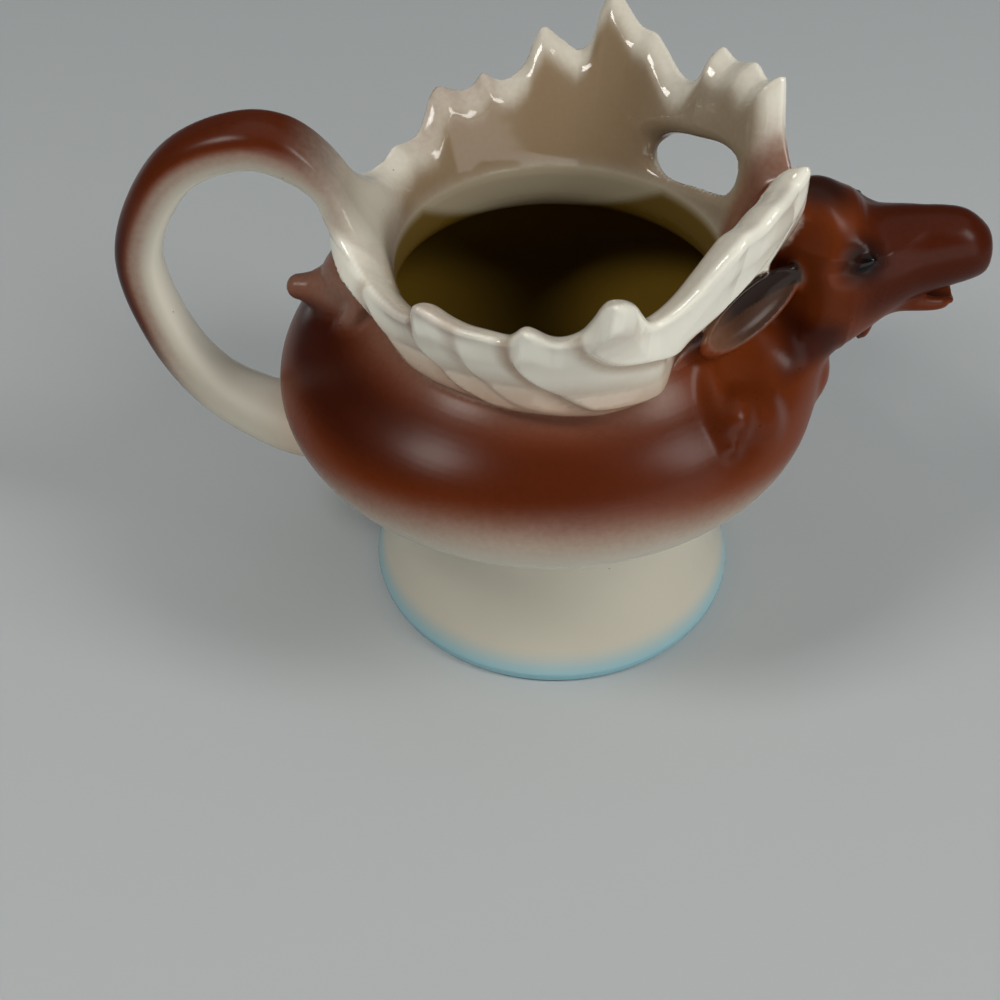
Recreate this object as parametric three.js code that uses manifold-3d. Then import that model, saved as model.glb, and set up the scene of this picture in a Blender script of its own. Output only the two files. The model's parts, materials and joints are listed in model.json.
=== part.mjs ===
// Elk creamer: a glazed ceramic cream jug. Millimetres, +Z up, the elk's head towards +X.
// The sections are modelled as they are cast and luted: foot, bulb, rim, handle, neck, head, antlers, tufts.
// Heights are above the table. Distances along X are from the axis of the foot, until the last lines
// move the jug so that the origin lies under the middle of its length.

import * as THREE from 'three';
import { mergeVertices } from 'three/addons/utils/BufferGeometryUtils.js';
import loadManifold from 'manifold-3d';

const wasm = await loadManifold();
wasm.setup();

// Foot
const FOOT_RADIUS = 38.6;
const FOOT_LIP = 2.2;
const FOOT_RING = 5.5;
const FOOT_RECESS = 3;
const FLOOR = 4;
const WAIST_RADIUS = 33.8;
const WAIST_Z = 30;
const FLARE_BEND = 0.35;

// Bulb
const BULB_RADIUS = 52.7;
const BULB_Z = 53.8;
const BULB_RISE = 23.5;
const BULB_SWELL = 11;
const BULB_LEAN = 2;
const WAIST_RUN = 9;
const WALL = 3.6;

// Rim
const SHOULDER_RADIUS = 36.4;
const RIM_WIDTH = 5.4;
const MOUTH_RADIUS = SHOULDER_RADIUS - RIM_WIDTH;
const COLLAR_HEIGHT = 7.8;
const SHOULDER_Z = bulbTop(SHOULDER_RADIUS);
const MOUTH_Z = SHOULDER_Z + COLLAR_HEIGHT;
const COLLAR_DROP = 6;
const THROAT_SHARE = 0.6;

// Every joint between two sections leaves room for the slip
const SLIP = 0.3;

// Antlers
const ANTLER_RISE = 29.4;
const ANTLER_TIP = 6.4;
const ANTLER_BELLY = 1.2;
const ANTLER_CREST = 0.6;
const ANTLER_TAPER = 2.5;
const HOLE_LENGTH = 24;
const HOLE_HEIGHT = 9.4;
const HOLE_RISE = 6.8;
const HOLE_ANGLE = 41;
const HOLE_SLOPE = 13;
const HOLE_DIP = 20;

// Rows of an antler, as shares of the way from the collar to its edge
const ANTLER_LEVELS = [0, 0.3, 0.6, 0.86, 1];

// Points of an antler's edge: degrees from the head, share of the antler's rise, outward lean of its inner
// face, share of the tip's thickness
const ANTLER_EDGE = [
  [8, 0.47, 0.5, 0.8], [12.5, 0.63, 0.36, 0.88], [17, 0.85, 0.26, 0.94], [21.5, 1, 0.22, 0.95],
  [28.5, 0.9, 0.22, 0.97], [34, 0.92, 0.22, 0.98], [40.5, 0.87, 0.23, 1], [46.5, 0.87, 0.24, 1],
  [51, 0.74, 0.27, 0.98], [54.5, 0.67, 0.3, 0.94], [60, 0.63, 0.36, 0.88], [66, 0.65, 0.43, 0.8],
  [72, 0.73, 0.53, 0.72], [76, 0.86, 0.57, 0.71], [80, 0.94, 0.62, 0.7], [82.3, 0.82, 0.63, 0.69],
  [84, 0.65, 0.64, 0.69], [87, 0.56, 0.65, 0.68], [91, 0.58, 0.66, 0.67], [95.5, 0.65, 0.64, 0.66],
  [98.5, 0.58, 0.63, 0.66], [101.5, 0.49, 0.61, 0.66], [106, 0.45, 0.6, 0.67], [112.5, 0.48, 0.58, 0.68],
  [119, 0.49, 0.58, 0.69], [125, 0.46, 0.57, 0.71], [129.5, 0.36, 0.56, 0.72], [134, 0.29, 0.56, 0.72],
  [142, 0.25, 0.55, 0.74], [156, 0.25, 0.53, 0.75], [170, 0.3, 0.51, 0.77],
];

// Handle
const HANDLE_REACH = 84.2;
const HANDLE_TOP = 106.6;
const HANDLE_DEPTH = 8.8;
const HANDLE_SINK = 2;

// Stations of the handle: share of the way from rim to back, share from bulb to top, then half width
// and half depth as shares of half the handle's depth
const HANDLE_STATIONS = [
  [0, 0.6, 2.27, 0.91], [0.1, 0.74, 1.9, 1], [0.25, 0.9, 1.5, 1], [0.5, 1, 1.36, 1], [0.8, 0.87, 1.23, 1],
  [1, 0.51, 1.11, 1], [0.955, 0.13, 1.23, 1], [0.78, -0.165, 1.41, 1.05], [0.52, -0.34, 1.82, 1.18],
  [0.3, -0.39, 2.05, 1.25],
];

// Head
const HEAD_REACH = 78.8;
const HEAD_LIFT = 4.6;
const HEAD_Z = MOUTH_Z + HEAD_LIFT;
const HEAD_WIDTH = 26;
const HEAD_DEPTH = 26;
const HEAD_SET = 7.8;
const EYE_LENGTH = 6.4;
const EYE_HEIGHT = 4.2;
const EYE_DEPTH = 3;
const EYE_SLANT = 20;
const EYE_TILT = 27;

// The skull is set against the rim, and the head runs from there to the muzzle's tip
const HEAD_LENGTH = HEAD_REACH - MOUTH_RADIUS - HEAD_SET;

// Stations behind the muzzle's tip: share of the head's length, then height over the head's axis, half width
// and half depth as shares of half the head's depth and width
const HEAD_STATIONS = [
  [1, 0.15, 0.38, 0.31], [0.9, 0.06, 0.81, 0.73], [0.75, -0.09, 1, 1], [0.6, -0.2, 0.97, 0.98],
  [0.45, -0.15, 0.82, 0.86], [0.3, -0.04, 0.71, 0.74], [0.16, 0.015, 0.66, 0.65], [0.06, 0.015, 0.52, 0.48],
  [0, 0, 0.19, 0.17],
];
const JAW_STATIONS = [
  [0.6, -1, 0.38, 0.18], [0.475, -0.95, 0.54, 0.26], [0.325, -0.89, 0.49, 0.25], [0.175, -0.88, 0.42, 0.2],
  [0.11, -0.89, 0.23, 0.12],
];

// The eye in the same shares: back, out, over the axis
const EYE_PLACE = [0.65, 0.86, 0.28];

// Stations of an ear, in shares of half the head's width: out from the mouth's edge along the head, sideways,
// over the head's axis, half width, half depth
const EAR_STATIONS = [
  [0.91, 0.85, 0.2, 0.22, 0.15], [0.48, 1.2, 0.11, 0.29, 0.15], [0.015, 1.58, -0.08, 0.29, 0.14],
  [-0.45, 1.96, -0.29, 0.2, 0.12], [-0.71, 2.2, -0.415, 0.06, 0.06],
];
const EAR_FACE = [0.1, 0.6, -0.8];

// Neck
const NECK_WIDTH = 44;
const NECK_DEPTH = 26;
const NECK_SET = 0.17;
const NECK_RISE = 2;
const SKULL_BACK = 0.675;
const SKULL_DROP = 1;

// Stations of the neck: share of the way from bulb to skull, then bow forward, half width and half depth
// as shares of half the neck's depth and width
const NECK_STATIONS = [
  [0, 0, 1, 1], [0.3, 0.15, 0.89, 1], [0.58, 0.15, 0.7, 0.92], [0.82, 0.08, 0.57, 0.85], [1, 0, 0.41, 0.69],
];
const BEARD_STATIONS = [[0.78, 0.86, 0.16, 0.28], [0.7, 1.09, 0.145, 0.23], [0.667, 1.27, 0.045, 0.08]];

// The pour channel: stations along the neck, then stations behind the muzzle's tip
const NECK_CHANNEL = [
  [-0.35, 0, 0.36, 0.54], [0.3, 0.15, 0.41, 0.58], [0.58, 0.15, 0.41, 0.54], [0.82, 0.115, 0.34, 0.49],
];
const HEAD_CHANNEL = [
  [0.54, -0.35, 0.46, 0.42], [0.36, -0.48, 0.37, 0.34], [0.21, -0.6, 0.33, 0.3], [-0.025, -0.715, 0.33, 0.3],
];

// Stations of the crest, in shares of its rise: out from the mouth, up from it, half width, half depth
const CREST_RISE = 16.4;
const CREST_STATIONS = [
  [0.16, 0.05, 0.28, 0.15], [0.3, 0.43, 0.305, 0.195], [0.585, 0.82, 0.29, 0.195], [1.04, 1, 0.18, 0.11],
];

// Stations of the locks: degrees, share of the way from shoulder to bulb, then height over the bulb,
// half width and half depth as shares of a lock's size
const LOCK_SIZE = 5;
const NECK_LOCK = [
  [41, 0.04, 0.24, 0.7, 0.6], [43.5, 0.31, 0.16, 1, 0.68], [45.5, 0.55, 0.04, 0.92, 0.6],
  [47, 0.71, -0.16, 0.3, 0.24],
];
const CHEST_LOCK = [[31, 0.18, 0.3, 0.6, 0.6], [33, 0.43, 0.2, 0.8, 0.68], [35, 0.64, 0.06, 0.3, 0.24]];
const SIDE_LOCK = [[158, 0.09, 0.32, 0.6, 0.48], [161.5, 0.28, 0.2, 0.6, 0.48], [165, 0.48, 0.06, 0.24, 0.2]];
const REAR_LOCK = [
  [180, -0.06, 1.06, 2.2, 1.3], [180, 0.22, 1.06, 1.84, 1.28], [180, 0.5, 1, 1.2, 0.92],
  [180, 0.71, 1.34, 0.66, 0.62], [180, 0.83, 1.76, 0.4, 0.44],
];

// Facets
const ROUND = 40;
const LIMB_SIDES = 14;
const TUFT_SIDES = 8;
const ROWS_PER_STATION = 2;
const FLARE_STEPS = 6;
const SWELL_STEPS = 6;
const DOME_STEPS = 5;

// Glaze colours
const CHESTNUT = 0x7e3320;
const DARK_BROWN = 0x4a1c12;
const CREAM = 0xe6d9cb;
const IVORY = 0xe9e0d2;
const PALE_FOOT = 0xcfcfc8;
const EYE_BLACK = 0x14100e;
const GLOSS = 0.18;

const SIDEWAYS = new THREE.Vector3(0, 1, 0);
const SIDES = { left: 1, right: -1 };
const SHARED_VERTEX = 1e-5;

const radians = THREE.MathUtils.degToRad;
const lerp = THREE.MathUtils.lerp;

// Keep positions only, share vertices, drop the slivers at poles, and turn the faces outwards.
function closed(geometry) {
  const plain = new THREE.BufferGeometry();
  plain.setAttribute('position', geometry.getAttribute('position').clone());
  plain.setIndex(geometry.getIndex().clone());
  const shared = mergeVertices(plain, SHARED_VERTEX);
  const place = shared.getAttribute('position');
  const index = shared.getIndex().array;
  const corner = [new THREE.Vector3(), new THREE.Vector3(), new THREE.Vector3()];
  const kept = [];
  let volume = 0;
  for (let i = 0; i < index.length; i += 3) {
    const [a, b, c] = index.slice(i, i + 3);
    if (a === b || b === c || c === a) continue;
    kept.push([a, b, c]);
    [a, b, c].forEach((vertex, k) => corner[k].fromBufferAttribute(place, vertex));
    volume += corner[0].dot(corner[1].clone().cross(corner[2]));
  }
  const ordered = volume > 0 ? kept : kept.map(([a, b, c]) => [a, c, b]);
  shared.setIndex(ordered.flat());
  return shared;
}

function solid(geometry) {
  const shared = closed(geometry);
  const vertProperties = new Float32Array(shared.getAttribute('position').array);
  const triVerts = new Uint32Array(shared.getIndex().array);
  return new wasm.Manifold(new wasm.Mesh({ numProp: 3, vertProperties, triVerts }));
}

// The same form, larger by the slip joint on every side: what a neighbour is cut with.
function grown(geometry) {
  const shared = closed(geometry);
  shared.computeVertexNormals();
  const place = shared.getAttribute('position');
  const normal = shared.getAttribute('normal');
  const point = new THREE.Vector3();
  const outward = new THREE.Vector3();
  for (let i = 0; i < place.count; i += 1) {
    outward.fromBufferAttribute(normal, i);
    point.fromBufferAttribute(place, i).addScaledVector(outward, SLIP);
    place.setXYZ(i, point.x, point.y, point.z);
  }
  return solid(shared);
}

function cut(body, ...tools) {
  return tools.reduce((rest, tool) => rest.subtract(tool), body);
}

function piece(name, body, color) {
  const { numProp, vertProperties, triVerts } = body.getMesh();
  const geometry = new THREE.BufferGeometry();
  geometry.setAttribute('position', new THREE.BufferAttribute(vertProperties, numProp));
  geometry.setIndex(new THREE.BufferAttribute(triVerts, 1));
  geometry.computeVertexNormals();
  const material = new THREE.MeshStandardMaterial({ color, roughness: GLOSS, metalness: 0 });
  const mesh = new THREE.Mesh(geometry, material);
  mesh.name = name;
  return mesh;
}

// Turn a closed outline of [radius, height] points about the axis of the foot.
function turned(outline) {
  const points = outline.map(([radius, height]) => new THREE.Vector2(radius, height));
  return new THREE.LatheGeometry(points, ROUND).rotateX(Math.PI / 2);
}

// A limb of oval section through stations [x, y, z, half width, half depth], widest along across.
function limb(stations, sides, across = SIDEWAYS) {
  const path = new THREE.CatmullRomCurve3(stations.map(([x, y, z]) => new THREE.Vector3(x, y, z)));
  const size = new THREE.CatmullRomCurve3(stations.map(([, , , w, d]) => new THREE.Vector3(w, d, 0)));
  const rows = (stations.length - 1) * ROWS_PER_STATION;
  const geometry = new THREE.CylinderGeometry(1, 1, 1, sides, rows);
  const place = geometry.getAttribute('position');
  for (let i = 0; i < place.count; i += 1) {
    const t = 0.5 - place.getY(i);
    const along = path.getTangent(t);
    const wide = across.clone().addScaledVector(along, -across.dot(along)).normalize();
    const deep = along.clone().cross(wide);
    const { x: halfWidth, y: halfDepth } = size.getPoint(t);
    const point = path.getPoint(t);
    point.addScaledVector(wide, place.getX(i) * halfWidth);
    point.addScaledVector(deep, place.getZ(i) * halfDepth);
    place.setXYZ(i, point.x, point.y, point.z);
  }
  return geometry;
}

// The outside of the foot flares from the waist to its lip.
function footOutside() {
  const flare = new THREE.QuadraticBezierCurve(
    new THREE.Vector2(FOOT_RADIUS, FOOT_LIP),
    new THREE.Vector2(WAIST_RADIUS, lerp(FOOT_LIP, WAIST_Z, FLARE_BEND)),
    new THREE.Vector2(WAIST_RADIUS, WAIST_Z - SLIP),
  );
  return flare.getPoints(FLARE_STEPS).map((point) => [point.x, point.y]);
}

// A cup standing on a ring, with a shallow recess under its floor.
function foot() {
  const floorZ = FOOT_RECESS + FLOOR;
  const wellRadius = WAIST_RADIUS - WALL;
  const inside = footOutside().filter(([, height]) => height > floorZ + WALL);
  const outline = [
    [0, FOOT_RECESS],
    [FOOT_RADIUS - FOOT_RING - FOOT_RECESS / 2, FOOT_RECESS],
    [FOOT_RADIUS - FOOT_RING, 0],
    [FOOT_RADIUS - FOOT_LIP / 3, 0],
    [FOOT_RADIUS, FOOT_LIP / 3],
    ...footOutside(),
    ...inside.reverse().map(([radius, height]) => [radius - WALL, height]),
    [wellRadius, floorZ + WALL / 2],
    [wellRadius - WALL / 2, floorZ],
    [0, floorZ],
  ];
  return turned(outline);
}

// Height of the bulb's upper half at a distance from its axis.
function bulbTop(radius) {
  return BULB_Z + BULB_RISE * Math.sqrt(1 - (radius / BULB_RADIUS) ** 2);
}

// The bulb swells out of the waist, then closes over in an ellipse to the shoulder.
function bulbOutside() {
  const swell = new THREE.CubicBezierCurve(
    new THREE.Vector2(WAIST_RADIUS, WAIST_Z),
    new THREE.Vector2(WAIST_RADIUS, WAIST_Z + WAIST_RUN),
    new THREE.Vector2(BULB_RADIUS, BULB_Z - BULB_SWELL),
    new THREE.Vector2(BULB_RADIUS, BULB_Z),
  );
  const outline = swell.getPoints(SWELL_STEPS).map((point) => [point.x, point.y]);
  const last = Math.acos(SHOULDER_RADIUS / BULB_RADIUS);
  for (let i = 1; i <= DOME_STEPS; i += 1) {
    const angle = (last * i) / DOME_STEPS;
    outline.push([BULB_RADIUS * Math.cos(angle), BULB_Z + BULB_RISE * Math.sin(angle)]);
  }
  return outline;
}

// The same outline, moved in by the wall.
function bulbInside() {
  return bulbOutside().map(([radius, height], i, all) => {
    if (i === 0 || i === all.length - 1) return [radius - WALL, height];
    const [lowRadius, lowZ] = all[i - 1];
    const [highRadius, highZ] = all[i + 1];
    const run = Math.hypot(highRadius - lowRadius, highZ - lowZ);
    return [radius - (WALL * (highZ - lowZ)) / run, height + (WALL * (highRadius - lowRadius)) / run];
  });
}

// The bulb leans a little to the back between the waist and the shoulder.
function leaned(geometry) {
  const place = geometry.getAttribute('position');
  for (let i = 0; i < place.count; i += 1) {
    const share = (place.getZ(i) - WAIST_Z) / (SHOULDER_Z - WAIST_Z);
    place.setX(i, place.getX(i) - BULB_LEAN * Math.sin(Math.PI * THREE.MathUtils.clamp(share, 0, 1)));
  }
  return geometry;
}

function bulbShell() {
  return leaned(turned([...bulbOutside(), ...bulbInside().reverse(), bulbOutside()[0]]));
}

// The bulb as if it were full, for cutting what sits on it.
function bulbFull() {
  return leaned(turned([[0, WAIST_Z], ...bulbOutside(), [0, SHOULDER_Z]]));
}

// The collar is a wedge: its inner edge is the crease of the mouth, its slope carries the antlers.
const COLLAR_FOOT = SHOULDER_Z + SLIP;
const COLLAR_BROW = MOUTH_Z - COLLAR_DROP;

function collar() {
  const outline = [
    [SHOULDER_RADIUS - WALL, COLLAR_FOOT],
    [SHOULDER_RADIUS, COLLAR_FOOT],
    [SHOULDER_RADIUS, COLLAR_BROW],
    [MOUTH_RADIUS + SLIP, MOUTH_Z],
    [MOUTH_RADIUS, MOUTH_Z - SLIP],
    [MOUTH_RADIUS, lerp(COLLAR_FOOT, MOUTH_Z, THROAT_SHARE)],
  ];
  return turned([...outline, outline[0]]);
}

// The collar as if it were full, for cutting what sits on it.
function collarFull() {
  const outline = [
    [0, SHOULDER_Z - SLIP],
    [SHOULDER_RADIUS, SHOULDER_Z - SLIP],
    [SHOULDER_RADIUS, COLLAR_BROW],
    [MOUTH_RADIUS + SLIP, MOUTH_Z],
    [0, MOUTH_Z],
  ];
  return turned(outline);
}

// The room inside the crown of antlers, kept clear of everything that ends at the rim.
function mouthRoom() {
  const crownTop = MOUTH_Z + 2 * MOUTH_RADIUS;
  const backLean = ANTLER_EDGE[ANTLER_EDGE.length - 1][2];
  const outline = [
    [0, MOUTH_Z - SLIP],
    [MOUTH_RADIUS, MOUTH_Z - SLIP],
    [MOUTH_RADIUS + backLean * (crownTop - MOUTH_Z), crownTop],
    [0, crownTop],
  ];
  return turned(outline);
}

// A palm is a plate bent round the rim: columns at the points of its edge, rows up from the collar.
// It is as thick as the collar at its root, swells a little on its outside and is rounded off at its edge.
function antler(side) {
  const columns = ANTLER_EDGE.length - 1;
  const rows = ANTLER_LEVELS.length - 1;
  const plate = new THREE.BoxGeometry(1, 1, 1, columns, rows, 1);
  const place = plate.getAttribute('position');
  for (let i = 0; i < place.count; i += 1) {
    const [degrees, rise, lean, thick] = ANTLER_EDGE[Math.round((place.getX(i) + 0.5) * columns)];
    const up = ANTLER_LEVELS[Math.round((place.getY(i) + 0.5) * rows)];
    const out = place.getZ(i) + 0.5;
    const angle = radians(degrees);
    const full = lerp(RIM_WIDTH, thick * ANTLER_TIP, up) + ANTLER_BELLY * Math.sin(Math.PI * up);
    const thickness = up < 1 ? full : full * ANTLER_CREST;
    const inner = MOUTH_RADIUS + lean * up * rise * ANTLER_RISE + (full - thickness) / 2;
    const drop = COLLAR_DROP * (1 - up) ** ANTLER_TAPER;
    const radius = inner + out * thickness;
    const z = lerp(MOUTH_Z + 2 * SLIP, MOUTH_Z + rise * ANTLER_RISE, up) - out * drop;
    place.setXYZ(i, radius * Math.cos(angle), side * radius * Math.sin(angle), z);
  }
  return plate;
}

// The hole through a palm: an oval bar square to the leaning plate, sloping up to the head.
function antlerHole(side) {
  const bar = new THREE.CylinderGeometry(1, 1, MOUTH_RADIUS, LIMB_SIDES, 1);
  bar.scale(HOLE_LENGTH / 2, 1, HOLE_HEIGHT / 2);
  bar.rotateY(radians(-HOLE_SLOPE));
  bar.rotateX(radians(-HOLE_DIP));
  bar.rotateZ(radians(HOLE_ANGLE - 90));
  const angle = radians(HOLE_ANGLE);
  bar.translate(SHOULDER_RADIUS * Math.cos(angle), SHOULDER_RADIUS * Math.sin(angle), MOUTH_Z + HOLE_RISE);
  return bar.scale(1, side, 1);
}

// From the rear of the rim up over the top, down the back, and in to the bulb above the waist.
function handle() {
  const back = -(HANDLE_REACH - HANDLE_DEPTH / 2);
  const top = HANDLE_TOP - HANDLE_DEPTH / 2;
  const half = HANDLE_DEPTH / 2;
  const stations = HANDLE_STATIONS.map(([reach, height, wide, deep]) => (
    [lerp(-MOUTH_RADIUS, back, reach), 0, lerp(BULB_Z, top, height), wide * half, deep * half]
  ));
  const [, , endZ, endWidth, endDepth] = stations[stations.length - 1];
  stations.push([HANDLE_SINK - WAIST_RADIUS, 0, endZ + HANDLE_SINK, endWidth, endDepth]);
  return limb(stations, LIMB_SIDES);
}

// A place by the head, from shares of the head's length, half width and half depth.
function byHead(back, out, rise) {
  return [
    HEAD_REACH - back * HEAD_LENGTH,
    (out * HEAD_WIDTH) / 2,
    HEAD_Z + (rise * HEAD_DEPTH) / 2,
  ];
}

// Turn stations behind the muzzle's tip into places and sizes.
function behindMuzzle(stations) {
  return stations.map(([back, rise, wide, deep]) => (
    [...byHead(back, 0, rise), (wide * HEAD_WIDTH) / 2, (deep * HEAD_DEPTH) / 2]
  ));
}

// Turn stations along the neck into places and sizes.
function alongNeck(stations) {
  const root = new THREE.Vector3(lerp(MOUTH_RADIUS, BULB_RADIUS, NECK_SET), 0, BULB_Z + NECK_RISE);
  const skull = new THREE.Vector3(HEAD_REACH - SKULL_BACK * HEAD_LENGTH, 0, HEAD_Z - SKULL_DROP);
  const forward = skull.clone().sub(root).normalize().cross(SIDEWAYS).negate();
  return stations.map(([share, bow, wide, deep]) => {
    const point = root.clone().lerp(skull, share).addScaledVector(forward, (bow * NECK_DEPTH) / 2);
    return [point.x, point.y, point.z, (wide * NECK_WIDTH) / 2, (deep * NECK_DEPTH) / 2];
  });
}

function headForm() {
  return limb(behindMuzzle(HEAD_STATIONS), LIMB_SIDES);
}

function neckForm() {
  return limb(alongNeck(NECK_STATIONS), LIMB_SIDES);
}

// One channel from the inside of the bulb through neck and head, and out of the mouth.
function pourChannel() {
  return limb([...alongNeck(NECK_CHANNEL), ...behindMuzzle(HEAD_CHANNEL)], LIMB_SIDES);
}

function jawForm() {
  return limb(behindMuzzle(JAW_STATIONS), LIMB_SIDES);
}

function beard() {
  return limb(alongNeck(BEARD_STATIONS), TUFT_SIDES);
}

// An ear lies back from the side of the skull, just under the antler.
function ear(side) {
  const half = HEAD_WIDTH / 2;
  const stations = EAR_STATIONS.map(([forward, out, rise, wide, deep]) => (
    [MOUTH_RADIUS + forward * half, side * out * half, HEAD_Z + rise * half, wide * half, deep * half]
  ));
  const [faceX, faceY, faceZ] = EAR_FACE;
  return limb(stations, TUFT_SIDES, new THREE.Vector3(faceX, side * faceY, faceZ));
}

// An eye is a lens let into the side of the skull.
function eye(side) {
  const lens = new THREE.SphereGeometry(1, LIMB_SIDES, TUFT_SIDES);
  lens.scale(EYE_LENGTH / 2, EYE_DEPTH / 2, EYE_HEIGHT / 2);
  lens.rotateY(radians(-EYE_SLANT));
  lens.rotateX(radians(EYE_TILT));
  lens.translate(...byHead(...EYE_PLACE));
  return lens.scale(1, side, 1);
}

// The crest fills the notch between the two antlers and runs out on top of the skull.
function pollCrest() {
  const stations = CREST_STATIONS.map(([out, rise, wide, deep]) => (
    [MOUTH_RADIUS + out * CREST_RISE, 0, MOUTH_Z + rise * CREST_RISE, wide * CREST_RISE, deep * CREST_RISE]
  ));
  return limb(stations, LIMB_SIDES);
}

// A lock of the mane lies on the bulb, pointing outwards from the shoulder.
function lock(table, side) {
  const stations = table.map(([degrees, out, lift, wide, deep]) => {
    const angle = radians(degrees);
    const radius = lerp(SHOULDER_RADIUS, BULB_RADIUS, out);
    const z = bulbTop(radius) + lift * LOCK_SIZE;
    return [radius * Math.cos(angle), side * radius * Math.sin(angle), z, wide * LOCK_SIZE, deep * LOCK_SIZE];
  });
  const turn = radians(table[0][0]);
  return limb(stations, TUFT_SIDES, new THREE.Vector3(-Math.sin(turn), side * Math.cos(turn), 0));
}

// Joining: each later piece is cut back from the ones already in place.

const pair = Object.values(SIDES);
const room = solid(mouthRoom());
const channel = solid(pourChannel());
const headCutter = grown(headForm());
const neckCutter = grown(neckForm());
const handleCutter = grown(handle());
const crestCutter = grown(pollCrest());
const jawCutter = grown(jawForm());
const rearCutter = grown(lock(REAR_LOCK, 1));
const eyeCutters = pair.map((side) => grown(eye(side)));
const neckLockCutters = pair.map((side) => grown(lock(NECK_LOCK, side)));
const antlerCutters = pair.map((side) => grown(antler(side)));
const body = [grown(bulbFull()), grown(collarFull())];
const crown = [...body, ...antlerCutters];
const skull = [headCutter, neckCutter, crestCutter];

const headBody = cut(solid(headForm()), ...crown, ...eyeCutters, room, channel);
const neckBody = cut(solid(neckForm()), ...crown, headCutter, crestCutter, room, channel);

const jug = new THREE.Group();
jug.add(piece('foot', solid(foot()), PALE_FOOT));
jug.add(piece('bowl', cut(solid(bulbShell()), channel), CHESTNUT));
jug.add(piece('rim_collar', solid(collar()), IVORY));
jug.add(piece('handle', cut(solid(handle()), ...crown, room), CREAM));
jug.add(piece('head', headBody, DARK_BROWN));
jug.add(piece('neck', neckBody, CHESTNUT));
jug.add(piece('lower_jaw', cut(solid(jawForm()), headCutter, neckCutter, channel), DARK_BROWN));
jug.add(piece('poll_crest', cut(solid(pollCrest()), ...crown, headCutter, room), DARK_BROWN));
jug.add(piece('beard', cut(solid(beard()), headCutter, neckCutter, jawCutter), DARK_BROWN));
jug.add(piece('rear_tuft', cut(solid(lock(REAR_LOCK, 1)), ...crown, handleCutter), CHESTNUT));

for (const [name, side] of Object.entries(SIDES)) {
  const palm = cut(solid(antler(side)), solid(antlerHole(side)), ...body);
  const neckLock = cut(solid(lock(NECK_LOCK, side)), ...crown, neckCutter);
  const chestLock = cut(solid(lock(CHEST_LOCK, side)), ...crown, neckCutter, ...neckLockCutters);
  const sideLock = cut(solid(lock(SIDE_LOCK, side)), ...crown, handleCutter, rearCutter);
  jug.add(piece(`${name}_antler`, palm, IVORY));
  jug.add(piece(`${name}_ear`, cut(solid(ear(side)), ...crown, ...skull, ...neckLockCutters), CHESTNUT));
  jug.add(piece(`${name}_eye`, solid(eye(side)), EYE_BLACK));
  jug.add(piece(`${name}_neck_lock`, neckLock, CHESTNUT));
  jug.add(piece(`${name}_chest_lock`, chestLock, CHESTNUT));
  jug.add(piece(`${name}_mane_lock`, sideLock, CHESTNUT));
}

// The origin lies on the table under the middle of the jug's length.
jug.position.x = (HANDLE_REACH - HEAD_REACH) / 2;

export default jug;
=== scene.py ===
"""Elk creamer: the glazed jug of the photograph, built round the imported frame.

The ware is modelled as a field of distances. Each section is a form, neighbours flow into each other
as wet clay does, and the field is skinned section by section, so that every node of the frame has its
own closed mesh. Millimetres from the axis of the foot, until the meshes are written in metres.
"""

import json
import math

import bpy
import numpy as np
from mathutils import Matrix, Vector


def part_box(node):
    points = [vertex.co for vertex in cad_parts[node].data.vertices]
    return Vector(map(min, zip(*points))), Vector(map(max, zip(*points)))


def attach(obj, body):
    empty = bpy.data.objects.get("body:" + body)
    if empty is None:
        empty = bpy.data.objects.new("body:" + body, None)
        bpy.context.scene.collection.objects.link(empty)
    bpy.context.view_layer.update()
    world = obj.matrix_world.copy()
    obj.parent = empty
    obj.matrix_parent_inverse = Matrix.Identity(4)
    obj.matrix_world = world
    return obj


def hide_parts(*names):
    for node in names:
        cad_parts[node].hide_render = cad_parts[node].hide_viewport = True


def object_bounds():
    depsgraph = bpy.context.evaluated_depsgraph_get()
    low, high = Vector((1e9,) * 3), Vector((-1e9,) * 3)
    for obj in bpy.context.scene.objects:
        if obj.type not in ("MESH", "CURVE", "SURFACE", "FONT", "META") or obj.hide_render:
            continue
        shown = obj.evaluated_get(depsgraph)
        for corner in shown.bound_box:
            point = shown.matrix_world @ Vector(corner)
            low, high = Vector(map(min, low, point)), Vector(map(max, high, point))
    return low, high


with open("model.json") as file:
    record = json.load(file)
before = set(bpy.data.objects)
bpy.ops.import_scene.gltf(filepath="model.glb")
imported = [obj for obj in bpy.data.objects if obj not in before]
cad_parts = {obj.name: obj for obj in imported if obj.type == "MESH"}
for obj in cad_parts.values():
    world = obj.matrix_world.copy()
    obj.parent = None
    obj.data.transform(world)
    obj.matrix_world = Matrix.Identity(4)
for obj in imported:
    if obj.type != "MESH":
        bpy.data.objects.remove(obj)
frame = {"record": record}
cad_low, cad_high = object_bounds()

MM = 0.001
FAR = 12.0
TINY = 1e-6


def node_box(name):
    low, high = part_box(name)
    return np.array(low) / MM, np.array(high) / MM


# Driving sizes, read from the frame
foot_low, foot_high = node_box("foot")
bowl_low, bowl_high = node_box("bowl")
rim_low, rim_high = node_box("rim_collar")
handle_low, handle_high = node_box("handle")
head_high = node_box("head")[1]
AXIS_X = (foot_low[0] + foot_high[0]) / 2
FOOT_RADIUS = (foot_high[1] - foot_low[1]) / 2
WAIST_Z = bowl_low[2]
BULB_RADIUS = (bowl_high[1] - bowl_low[1]) / 2
SHOULDER_Z = bowl_high[2]
SHOULDER_RADIUS = (rim_high[1] - rim_low[1]) / 2
MOUTH_Z = rim_high[2]
HANDLE_REACH = AXIS_X - handle_low[0]
HANDLE_TOP = handle_high[2]
HEAD_REACH = head_high[0] - AXIS_X

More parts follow.
